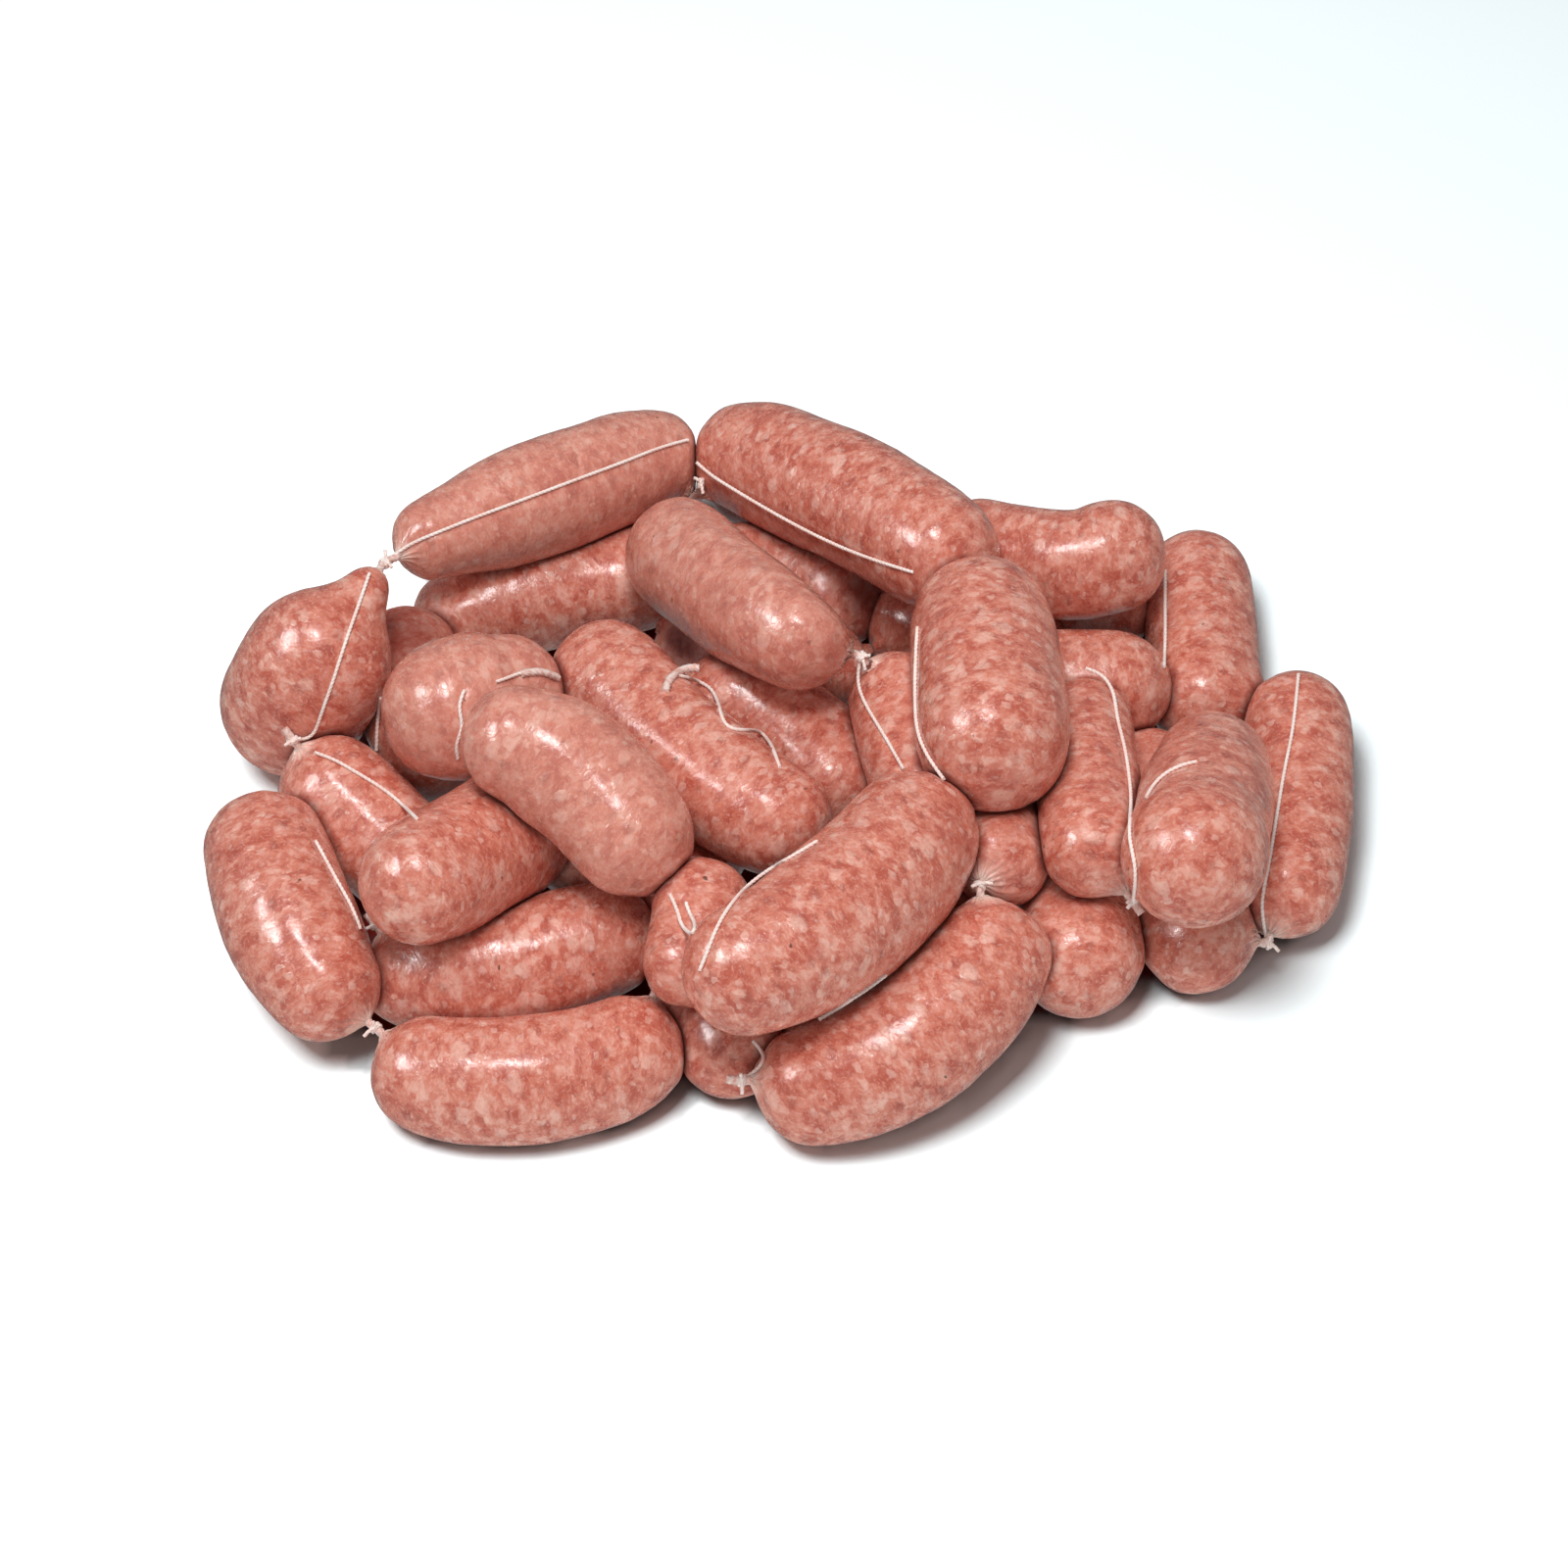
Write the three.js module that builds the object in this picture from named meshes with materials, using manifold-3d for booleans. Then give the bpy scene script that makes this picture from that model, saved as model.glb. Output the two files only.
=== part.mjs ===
// A string of fresh pork sausages let down on a table in a low heap: thirty-one links in sight and eight
// beneath. Every link is one stuffed length of casing, pinched to a nipple where it is tied off, and cotton
// twine runs over the links from tie to tie. Soft links flatten where they press on each other and on the
// table. Millimetres, Z up, with the table at Z = 0 and the viewer in front of the heap, towards -Y.
import * as THREE from "three";
import { mergeVertices } from "three/addons/utils/BufferGeometryUtils.js";
import Module from "manifold-3d";

const wasm = await Module();
wasm.setup();

// The view that places are read in. A place is a pixel of a 1600 x 1600 picture and a height above the table.
const VIEW_TILT = THREE.MathUtils.degToRad(50);
const VIEW_DISTANCE = 1000;
const VIEW_HEIGHT = 30;
const PIXELS_PER_MM = 3.5;
const PICTURE_MIDDLE = 800;

// The links. A path is the middle of one round end, of the waist and of the other round end in the picture.
// The radius is the waist's, and ends says how much of it the two round ends keep. Lift is the height of
// the two ends before the heap settles. A link of a higher layer lies over its neighbours. An unseen end
// may shift to find room.
const SEEN_LINKS = {
  back_left: {
    path: [[443, 549], [562, 504], [664, 467]], radius: 18, ends: [0.71, 0.86], lift: [30, 36], layer: 3,
  },
  back_middle: {
    path: [[764, 466], [858, 504], [957, 562]], radius: 19.8, ends: [0.88, 0.92], lift: [45, 50], layer: 4,
  },
  back_right: {
    path: [[1003, 556], [1075, 576], [1132, 568]], radius: 16.7, ends: [0.86, 1.04], lift: [45, 40], layer: 3,
  },
  right_back: {
    path: [[1221, 597], [1227, 660], [1232, 728]], radius: 17.1, lift: [18, 18], layer: 2, unseen: [0, 1],
  },
  right_side: {
    path: [[1324, 738], [1326, 822], [1313, 903]], radius: 15.7, lift: [18, 18], layer: 4,
  },
  right_top: {
    path: [[1236, 786], [1228, 832], [1219, 872]], radius: 19.3, ends: [0.88, 1.05], lift: [40, 55], layer: 6,
  },
  crown_right: {
    path: [[1002, 640], [1009, 695], [1013, 748]], radius: 21.9, ends: [0.95, 1], lift: [70, 75], layer: 8,
  },
  crown_left: {
    path: [[699, 568], [755, 606], [812, 645]], radius: 19.3, ends: [0.95, 0.88], lift: [60, 75], layer: 8,
  },
  inner_back: {
    path: [[745, 588], [795, 592], [845, 612]], radius: 16.5, lift: [30, 30], layer: 3, unseen: [1, 0],
  },
  inner_middle: {
    path: [[748, 722], [805, 752], [850, 800]], radius: 18.2, ends: [0.95, 1], lift: [45, 40], layer: 4,
    unseen: [0, 1],
  },
  long_middle: {
    path: [[622, 693], [700, 775], [790, 835]], radius: 18, ends: [0.97, 0.92], lift: [48, 52], layer: 5,
  },
  left_top: {
    path: [[529, 757], [588, 790], [643, 850]], radius: 18.7, ends: [0.87, 0.95], lift: [65, 70], layer: 8,
  },
  left_hollow: {
    path: [[462, 724], [488, 715], [512, 708]], radius: 20.8, ends: [1, 0.9], lift: [45, 40], layer: 6,
    unseen: [0, 1],
  },
  left_side: {
    path: [[301, 716], [324, 676], [371, 606]], radius: 22.1, ends: [1, 0.45], lift: [24, 30], layer: 4,
  },
  left_low: {
    path: [[344, 812], [380, 848], [418, 884]], radius: 17.3, lift: [28, 18], layer: 5, unseen: [0, 1],
  },
  left_front_back: {
    path: [[431, 899], [480, 874], [527, 847]], radius: 18.6, ends: [0.96, 1], lift: [30, 35], layer: 6,
    unseen: [0, 1],
  },
  left_front_middle: {
    path: [[425, 998], [521, 987], [610, 959]], radius: 17.5, ends: [0.86, 0.97], lift: [20, 25], layer: 4,
  },
  front_left: {
    path: [[440, 1098], [540, 1102], [637, 1077]], radius: 17.9, ends: [0.93, 0.93], lift: [18, 18], layer: 6,
  },
  corner_left: {
    path: [[271, 869], [295, 939], [328, 1003]], radius: 19.3, ends: [0.91, 0.85], lift: [20, 18], layer: 6,
  },
  front_top: {
    path: [[765, 988], [856, 934], [928, 858]], radius: 21, ends: [0.88, 0.92], lift: [55, 70], layer: 9,
  },
  front_right: {
    path: [[833, 1107], [934, 1063], [1011, 980]], radius: 18.7, ends: [0.9, 0.9], lift: [18, 20], layer: 6,
  },
  front_notch: {
    path: [[745, 1068], [721, 1030], [697, 990]], radius: 14.7, lift: [16, 16], layer: 3, unseen: [0, 1],
  },
  front_gap: {
    path: [[718, 925], [716, 955], [712, 985]], radius: 13.7, ends: [1, 0.95], lift: [40, 40], layer: 4,
    unseen: [1, 1],
  },
  right_gap: {
    path: [[1020, 874], [1014, 838], [1005, 800]], radius: 14.5, lift: [35, 30], layer: 4, unseen: [0, 1],
  },
  corner_inner: {
    path: [[1101, 975], [1104, 935], [1106, 900]], radius: 18, ends: [1, 0.9], lift: [18, 18], layer: 4,
    unseen: [0, 1],
  },
  corner_right: {
    path: [[1220, 955], [1204, 880], [1184, 805]], radius: 16.7, ends: [1, 0.92], lift: [18, 18], layer: 3,
    unseen: [0, 1],
  },
  right_inner: {
    path: [[1108, 740], [1110, 800], [1113, 862]], radius: 14.4, ends: [0.95, 1], lift: [45, 45], layer: 5,
  },
  cross_back: {
    path: [[1138, 700], [1060, 696], [985, 700]], radius: 16.5, lift: [28, 28], layer: 3, unseen: [0, 1],
  },
  cross_gap: {
    path: [[914, 712], [930, 760], [946, 805]], radius: 13.7, lift: [45, 40], layer: 4, unseen: [0, 1],
  },
  back_left_inner: {
    path: [[472, 630], [550, 610], [650, 590]], radius: 16.8, ends: [0.92, 1], lift: [18, 20], layer: 2,
  },
  left_under: {
    path: [[415, 672], [422, 720], [440, 766]], radius: 15.9, lift: [16, 16], layer: 2, unseen: [0, 0],
  },
};
// The links underneath, which lie on the table and hold the others up.
const BURIED_LINKS = {
  under_back_left: { path: [[465, 548], [560, 516], [650, 486]], radius: 14.7, layer: 1 },
  under_back_middle: { path: [[768, 494], [857, 520], [925, 560]], radius: 15, layer: 1 },
  under_back_right: { path: [[1040, 628], [1090, 624], [1132, 620]], radius: 14.8, layer: 1 },
  under_crown: { path: [[712, 678], [770, 686], [840, 690]], radius: 14.1, layer: 3.5 },
  under_crown_right: { path: [[935, 640], [985, 645], [1040, 650]], radius: 14.2, layer: 2 },
  under_front: { path: [[838, 1030], [895, 990], [950, 935]], radius: 13.5, layer: 1 },
  under_left_top: { path: [[592, 880], [606, 840], [622, 795]], radius: 13.9, layer: 1 },
  under_long: { path: [[700, 905], [716, 870], [738, 830]], radius: 13.2, layer: 1 },
};
const BURIED_HEIGHT = 16;

// The ties in sight: where a knot is in the picture, and the link ends that it closes off. End 0 is where a
// link's path starts and end 1 where it stops.
const TIES = {
  left_back: { at: [392, 575], closes: [["left_side", 1], ["back_left", 0]] },
  back: { at: [711, 476], closes: [["back_left", 1], ["back_middle", 0]] },
  left: { at: [315, 762], closes: [["left_low", 0]] },
  front_left: { at: [381, 1047], closes: [["corner_left", 1], ["front_left", 0]] },
  front: { at: [686, 1026], closes: [["front_left", 1]] },
  middle: { at: [1010, 905], closes: [["right_gap", 0], ["front_right", 1]] },
  crown: { at: [878, 676], closes: [["crown_left", 1], ["cross_gap", 0]] },
  right_inner: { at: [1156, 920], closes: [["right_inner", 1]] },
  right: { at: [1286, 938], closes: [["corner_right", 0], ["right_side", 1]] },
  left_front: { at: [379, 965], closes: [["left_front_middle", 0]] },
  inner: { at: [694, 693], closes: [["inner_middle", 0]] },
  notch: { at: [772, 1098], closes: [["front_right", 0]] },
};

// The twine in sight. Each run lies on one link through places in the picture, and starts or stops in the
// tie that is named. A tie with no run beside it is only a knot.
const TWINES = {
  back_left: {
    on: "back_left", from: "left_back",
    path: [[418, 556], [440, 546], [480, 530], [520, 515], [560, 500], [600, 485], [640, 470],
      [680, 455], [702, 449]],
  },
  back_middle: {
    on: "back_middle", from: "back",
    path: [[725, 485], [740, 495], [780, 518], [820, 540], [860, 560], [900, 575], [932, 584]],
  },
  right_back: { on: "right_back", path: [[1189, 582], [1189, 615], [1189, 650], [1188, 680]] },
  right_side: {
    on: "right_side", to: "right",
    path: [[1325, 688], [1322, 720], [1318, 750], [1312, 780], [1305, 820], [1300, 850], [1293, 890],
      [1288, 920]],
  },
  right_top: { on: "right_top", path: [[1200, 785], [1186, 797], [1172, 812]] },
  crown_right: {
    on: "crown_right",
    path: [[936, 640], [934, 680], [934, 720], [937, 748], [946, 770], [963, 795]],
  },
  inner_middle: {
    on: "inner_middle", from: "inner",
    path: [[712, 695], [725, 703], [735, 725], [742, 740], [760, 745], [775, 747], [785, 757],
      [793, 775], [796, 783]],
  },
  left_hollow: {
    on: "left_hollow",
    path: [[556, 690], [535, 686], [515, 692], [500, 695], [482, 712], [470, 738]],
  },
  left_side: {
    on: "left_side", to: "left",
    path: [[382, 586], [374, 610], [360, 640], [350, 665], [340, 700], [332, 730], [324, 752]],
  },
  left_low: {
    on: "left_low",
    path: [[322, 768], [340, 775], [360, 786], [380, 798], [400, 812], [425, 835]],
  },
  left_under: { on: "left_under", path: [[388, 712], [385, 740], [384, 766]] },
  corner_left: { on: "corner_left", path: [[322, 858], [334, 880], [346, 902], [360, 928], [368, 948]] },
  front_top: {
    on: "front_top",
    path: [[828, 862], [811, 872], [784, 888], [759, 908], [743, 927], [731, 948], [722, 970], [714, 990]],
  },
  front_gap: { on: "front_gap", path: [[683, 912], [690, 931], [698, 949], [708, 952], [713, 942], [706, 926]] },
  right_inner: {
    on: "right_inner", to: "right_inner",
    path: [[1108, 682], [1125, 690], [1135, 705], [1140, 730], [1147, 760], [1152, 790], [1154, 820],
      [1153, 855],
      [1158, 885]],
  },
  cross_gap: { on: "cross_gap", from: "crown", path: [[876, 697], [890, 730], [905, 755], [922, 785]] },
  notch: { on: "front_right", to: "notch", path: [[768, 1062], [779, 1078]] },
};
const LONE_TIES = ["front_left", "front", "left_front", "middle"];

const MEAT = { color: 0xc9786a, roughness: 0.35, metalness: 0 };
const COTTON = { color: 0xf0dcd2, roughness: 0.8, metalness: 0 };

const toViewer = new THREE.Vector3(0, -Math.cos(VIEW_TILT), Math.sin(VIEW_TILT));
const pictureUp = new THREE.Vector3(0, Math.sin(VIEW_TILT), Math.cos(VIEW_TILT));
const eye = new THREE.Vector3(0, 0, VIEW_HEIGHT).addScaledVector(toViewer, VIEW_DISTANCE);

// The direction in which the viewer sees a pixel.
function sightThrough([x, y]) {
  const ray = toViewer.clone().multiplyScalar(-VIEW_DISTANCE * PIXELS_PER_MM);
  ray.x += x - PICTURE_MIDDLE;
  return ray.addScaledVector(pictureUp, PICTURE_MIDDLE - y).normalize();
}

// The point that the viewer sees at a pixel, at a height above the table.
function placeAt(pixel, height) {
  const ray = sightThrough(pixel);
  return eye.clone().addScaledVector(ray, (height - eye.z) / ray.z);
}

// The point on a pixel's line of sight that is nearest to a point in space.
function ontoSight(pixel, point) {
  const ray = sightThrough(pixel);
  return eye.clone().addScaledVector(ray, point.clone().sub(eye).dot(ray));
}

// A link as a chain of balls along a middle line that bends one way. Its two ends can be moved.
const BEADS = Array.from({ length: 9 }, (_, i) => i / 8);
class Link {
  constructor(name, { path, radius, ends = [1, 1], lift, layer, unseen = [0, 0] }) {
    Object.assign(this, { name, path, radius, ends, layer, unseen });
    const heights = [lift[0], (lift[0] + lift[1]) / 2, lift[1]];
    const [start, waist, stop] = path.map((pixel, i) => placeAt(pixel, heights[i]));
    this.tips = [start, stop];
    this.bow = waist.clone().addScaledVector(start, -0.5).addScaledVector(stop, -0.5);
    this.shape();
  }

  // Works out the middle line from where the two ends are now.
  shape() {
    const [start, stop] = this.tips;
    const bend = start.clone().add(stop).multiplyScalar(0.5).addScaledVector(this.bow, 2);
    this.core = new THREE.QuadraticBezierCurve3(start.clone(), bend, stop.clone());
    this.beads = BEADS.map((t) => ({ t, at: this.core.getPoint(t), radius: this.girth(t) }));
  }

  // The radius along the middle line, from 0 at the middle of one round end to 1 at the other's.
  girth(t) {
    const out = Math.abs(2 * t - 1);
    return this.radius * (1 + (this.ends[t < 0.5 ? 0 : 1] - 1) * out * out);
  }

  // Moves the link by a push that lands at t along it.
  push(t, by) {
    const share = (1 - t) ** 2 + t ** 2;
    this.tips[0].addScaledVector(by, (1 - t) / share);
    this.tips[1].addScaledVector(by, t / share);
  }
}

// The heap settles: links sink and those that press too hard part, while every end in sight keeps to its
// line of sight and an unseen one is only drawn back to it.
const SETTLE_ROUNDS = 600;
const FIRST_SINK = 0.25;
const FIRMNESS = 0.4;
const LINK_SQUASH = 2.4;
const TABLE_SQUASH = 1.2;
const LOOSE_HOLD = 0.02;
const LAYER_STEP = 4;
const LEAST_SLOPE = 0.3;

function hardestPress(a, b) {
  let worst = null;
  for (const p of a.beads) {
    for (const q of b.beads) {
      const press = p.radius + q.radius - LINK_SQUASH - p.at.distanceTo(q.at);
      if (press > 0 && (!worst || press > worst.press)) worst = { p, q, press };
    }
  }
  return worst;
}

// Pushes two links apart, the one of the higher layer towards the viewer. Ends in sight can only slide along
// their line of sight, so that share of the push is made larger.
function partTwo(a, b) {
  const touch = hardestPress(a, b);
  if (!touch) return;
  const order = Math.sign(a.layer - b.layer);
  const way = touch.p.at.clone().sub(touch.q.at);
  const depth = way.dot(toViewer);
  if (depth * order < 0) way.addScaledVector(toViewer, LAYER_STEP * order - depth);
  way.setLength(touch.press * FIRMNESS);
  const slope = Math.max(LEAST_SLOPE, Math.abs(way.dot(toViewer)) / way.length());
  way.addScaledVector(toViewer, 0.5 * way.dot(toViewer) * (1 / slope ** 2 - 1));
  a.push(touch.p.t, way);
  b.push(touch.q.t, way.negate());
}

function holdToSight(link) {
  link.tips.forEach((tip, end) => {
    tip.lerp(ontoSight(link.path[end * 2], tip), link.unseen[end] ? LOOSE_HOLD : 1);
  });
}

function stayOnTable(link) {
  link.tips.forEach((tip, end) => {
    const low = link.girth(end) - TABLE_SQUASH;
    if (tip.z >= low) return;
    if (link.unseen[end]) tip.z = low;
    else tip.copy(placeAt(link.path[end * 2], low));
  });
}

const links = Object.entries(SEEN_LINKS).map(([name, facts]) => new Link(name, facts));
for (const [name, facts] of Object.entries(BURIED_LINKS)) {
  links.push(new Link(name, { ...facts, lift: [BURIED_HEIGHT, BURIED_HEIGHT], unseen: [1, 1] }));
}
for (let round = 0; round < SETTLE_ROUNDS; round++) {
  const sink = FIRST_SINK * (1 - round / SETTLE_ROUNDS);
  for (const link of links) {
    link.tips.forEach((tip) => (tip.z -= sink));
    link.shape();
  }
  links.forEach((a, i) => links.slice(i + 1).forEach((b) => partTwo(a, b)));
  links.forEach(holdToSight);
  links.forEach(stayOnTable);
}
links.forEach((link) => link.shape());
const linkNamed = (name) => links.find((link) => link.name === name);

// How far a point is outside a link's round form, and which way is out.
const SPINE_STEPS = 16;
for (const link of links) link.spine = link.core.getPoints(SPINE_STEPS);
function outside(link, point) {
  let best = null;
  for (let i = 0; i < SPINE_STEPS; i++) {
    const run = link.spine[i + 1].clone().sub(link.spine[i]);
    const away = point.clone().sub(link.spine[i]);
    const along = THREE.MathUtils.clamp(away.dot(run) / run.lengthSq(), 0, 1);
    away.addScaledVector(run, -along);
    const far = away.length() - link.girth((i + along) / SPINE_STEPS);
    if (!best || far < best.far) best = { far, away };
  }
  return { far: best.far, way: best.away.normalize() };
}

// Moves a point out until it is at least so far from every link.
const CLEARING_ROUNDS = 12;
function clearOfAll(point, least) {
  for (let round = 0; round < CLEARING_ROUNDS; round++) {
    for (const link of links) {
      const { far, way } = outside(link, point);
      if (far < least) point.addScaledVector(way, least - far);
    }
  }
  return point;
}

// A knot sits on the viewer's line of sight, as deep as the link ends that it closes, with room for their
// nipples.
const KNOT_RADIUS = 2.3;
const GAP = 0.4;
const SHORTEST_NIPPLE = 1.4;
const LONGEST_NIPPLE = 4;
const NIPPLE_RADIUS = 2;
for (const tie of Object.values(TIES)) {
  const ends = tie.closes.map(([name, end]) => linkNamed(name).core.getPoint(end));
  const middle = ends.reduce((sum, end) => sum.add(end), new THREE.Vector3()).divideScalar(ends.length);
  tie.place = clearOfAll(ontoSight(tie.at, middle), SHORTEST_NIPPLE + GAP + KNOT_RADIUS);
}
const tieThatCloses = (link, end) =>
  Object.values(TIES).find(({ closes }) => closes.some(([name, which]) => name === link.name && which === end));

// The skin is rings of points along the middle line, from one tip to the other. A ring of a round end is
// given by its angle from the tip, and how much of the tip's lean towards its tie it follows.
const SIDES = 12;
const CAP_RINGS = [{ turn: 30, lean: 0.7 }, { turn: 60, lean: 0.35 }, { turn: 90, lean: 0 }];
const WAIST_RINGS = [0.25, 0.5, 0.75];
const ROUND_TIP = 0.22;

// The tip of one round end and the rings after it, each as its centre, the way it faces and its radius.
function roundEnd(link, end) {
  const centre = link.core.getPoint(end);
  const radius = link.girth(end);
  const out = link.core.getTangent(end).multiplyScalar(end ? 1 : -1);
  const tie = tieThatCloses(link, end);
  const tipWay = tie ? tie.place.clone().sub(centre).normalize() : out;
  const facing = (lean) => out.clone().lerp(tipWay, lean).normalize();
  const room = tie ? tie.place.distanceTo(centre) - radius - GAP - KNOT_RADIUS : 0;
  const nipple = Math.min(room, LONGEST_NIPPLE);
  const along = (way, far) => centre.clone().addScaledVector(way, far);
  const rings = [
    tie
      ? { centre: along(tipWay, radius + nipple / 2), way: tipWay, radius: NIPPLE_RADIUS }
      : { centre: along(out, radius * Math.sqrt(1 - ROUND_TIP ** 2)), way: out, radius: radius * ROUND_TIP },
  ];
  for (const { turn, lean } of CAP_RINGS) {
    const angle = THREE.MathUtils.degToRad(turn);
    const way = facing(lean);
    rings.push({ centre: along(way, radius * Math.cos(angle)), way, radius: radius * Math.sin(angle) });
  }
  for (const ring of rings) ring.way = ring.way.clone().multiplyScalar(end ? 1 : -1);
  return { tip: along(tipWay, radius + nipple), rings };
}

function skinOf(link) {
  const start = roundEnd(link, 0);
  const stop = roundEnd(link, 1);
  const waist = WAIST_RINGS.map((t) => ({
    centre: link.core.getPoint(t), way: link.core.getTangent(t), radius: link.girth(t),
  }));
  const rings = [...start.rings, ...waist, ...stop.rings.reverse()];
  const points = [start.tip];
  for (const { centre, way, radius } of rings) {
    const front = toViewer.clone().projectOnPlane(way).normalize();
    const side = way.clone().cross(front);
    for (let i = 0; i < SIDES; i++) {
      const turn = (i * 2 * Math.PI) / SIDES;
      const point = centre.clone().addScaledVector(front, radius * Math.cos(turn));
      points.push(point.addScaledVector(side, radius * Math.sin(turn)));
    }
  }
  points.push(stop.tip);
  const faces = [];
  const at = (row, i) => 1 + row * SIDES + (i % SIDES);
  for (let i = 0; i < SIDES; i++) {
    faces.push([0, at(0, i + 1), at(0, i)]);
    for (let row = 0; row + 1 < rings.length; row++) {
      faces.push([at(row, i), at(row, i + 1), at(row + 1, i + 1)]);
      faces.push([at(row, i), at(row + 1, i + 1), at(row + 1, i)]);
    }
    faces.push([points.length - 1, at(rings.length - 1, i), at(rings.length - 1, i + 1)]);
  }
  return { points, faces };
}

// Each point of a skin, and the middle of each edge and face, keeps to its own side of the surface midway
// between two links, with half the gap to it, and stays above the table.
const PRESS_ROUNDS = 10;
const NEAR = 4;
const HALF_GAP = 0.35;
const LEAST_TURN = 0.5;

function closest(a, b) {
  return Math.min(...a.beads.flatMap((p) => b.beads.map((q) => p.at.distanceTo(q.at) - p.radius - q.radius)));
}

function press(link, { points, faces }) {
  const neighbours = links.filter((other) => other !== link && closest(link, other) < NEAR);
  const samples = points.map((_, i) => [i]);
  for (const [a, b, c] of faces) samples.push([a, b], [b, c], [c, a], [a, b, c]);
  for (let round = 0; round < PRESS_ROUNDS; round++) {
    for (const corners of samples) {
      const point = new THREE.Vector3();
      corners.forEach((i) => point.addScaledVector(points[i], 1 / corners.length));
      for (const other of neighbours) {
        const theirs = outside(other, point);
        if (theirs.far > NEAR) continue;
        const ours = outside(link, point);
        const short = HALF_GAP - (theirs.far - ours.far) / 2;
        if (short <= 0) continue;
        const way = theirs.way.clone().sub(ours.way);
        if (way.lengthSq() < LEAST_TURN) way.copy(theirs.way);
        way.multiplyScalar((2 * short) / way.lengthSq());
        corners.forEach((i) => points[i].add(way));
      }
    }
    for (const point of points) point.z = Math.max(point.z, 0);
  }
}

function linkGeometry(link) {
  const skin = skinOf(link);
  press(link, skin);
  return new THREE.BufferGeometry().setFromPoints(skin.points).setIndex(skin.faces.flat());
}

// Twine lies just off the skin. Where it starts or stops in a tie it is one piece with the knot.
const TWINE_RADIUS = 0.8;
const TWINE_LIFT = TWINE_RADIUS + 0.35;
const TWINE_SIDES = 5;
const TWINE_STEP = 6;
const SEARCH_STEPS = 60;

// The place on a link that the viewer sees at a pixel, lifted off the skin.
function placeOnLink(link, pixel) {
  const ray = sightThrough(pixel);
  const point = ontoSight(pixel, link.core.getPoint(0.5)).addScaledVector(ray, -2 * link.radius);
  let nearest = null;
  for (let step = 0; step < SEARCH_STEPS; step++) {
    const { far } = outside(link, point);
    if (!nearest || far < nearest.far) nearest = { far, at: point.clone() };
    if (far < TWINE_LIFT) break;
    point.addScaledVector(ray, Math.max(far - TWINE_LIFT, 0.2));
  }
  const { far, way } = outside(link, nearest.at);
  return clearOfAll(nearest.at.addScaledVector(way, TWINE_LIFT - far), TWINE_LIFT);
}

function solidFrom(geometry) {
  geometry.deleteAttribute("normal");
  geometry.deleteAttribute("uv");
  const { attributes, index } = mergeVertices(geometry);
  const vertProperties = new Float32Array(attributes.position.array);
  const triVerts = new Uint32Array(index.array);
  return new wasm.Manifold(new wasm.Mesh({ numProp: 3, vertProperties, triVerts }));
}

function geometryFrom(solid) {
  const { vertProperties, triVerts } = solid.getMesh();
  const geometry = new THREE.BufferGeometry();
  geometry.setAttribute("position", new THREE.BufferAttribute(vertProperties, 3));
  return geometry.setIndex(new THREE.BufferAttribute(triVerts, 1));
}

const knotSolid = (tie) =>
  solidFrom(new THREE.IcosahedronGeometry(KNOT_RADIUS, 1).translate(...tie.place.toArray()));

function twineGeometry({ on, from, to, path }) {
  const touched = path.map((pixel) => placeOnLink(linkNamed(on), pixel));
  const stops = [TIES[from], ...touched, TIES[to]].filter(Boolean).map((stop) => stop.place ?? stop);
  const rough = new THREE.CatmullRomCurve3(stops, false, "centripetal");
  const steps = Math.max(3, Math.round(rough.getLength() / TWINE_STEP));
  const fine = rough.getSpacedPoints(steps).map((point) => clearOfAll(point, TWINE_LIFT));
  const section = new THREE.Shape();
  for (let i = 0; i < TWINE_SIDES; i++) {
    const turn = (i * 2 * Math.PI) / TWINE_SIDES;
    section[i ? "lineTo" : "moveTo"](TWINE_RADIUS * Math.cos(turn), TWINE_RADIUS * Math.sin(turn));
  }
  const extrudePath = new THREE.CatmullRomCurve3(fine, false, "centripetal");
  let solid = solidFrom(new THREE.ExtrudeGeometry(section, { steps, extrudePath }));
  for (const tie of [TIES[from], TIES[to]].filter(Boolean)) solid = solid.add(knotSolid(tie));
  return geometryFrom(solid);
}

const heap = new THREE.Group();
function addPiece(name, geometry, finish) {
  const mesh = new THREE.Mesh(geometry, new THREE.MeshStandardMaterial(finish));
  mesh.name = name;
  heap.add(mesh);
}
for (const link of links) addPiece(`link_${link.name}`, linkGeometry(link), MEAT);
for (const [name, facts] of Object.entries(TWINES)) addPiece(`twine_${name}`, twineGeometry(facts), COTTON);
for (const name of LONE_TIES) addPiece(`tie_${name}`, geometryFrom(knotSolid(TIES[name])), COTTON);

// The heap stands on the table with the middle of its box over the origin.
const middle = new THREE.Box3().setFromObject(heap).getCenter(new THREE.Vector3());
heap.position.set(-middle.x, -middle.y, 0);

export default heap;
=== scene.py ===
# %% [markdown]
# # A heap of fresh sausage links
# This lesson dresses a heap of raw, coarse sausage links. The solids come from a CAD model, so every
# size and place is settled before the first line here. What is left is what a cook would see:
# minced meat under a thin wet skin, and cotton twine round every neck.

# %% Load the solids
import math
import random

import bmesh
import bpy
import numpy as np
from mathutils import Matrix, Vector
from mathutils.bvhtree import BVHTree


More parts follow.
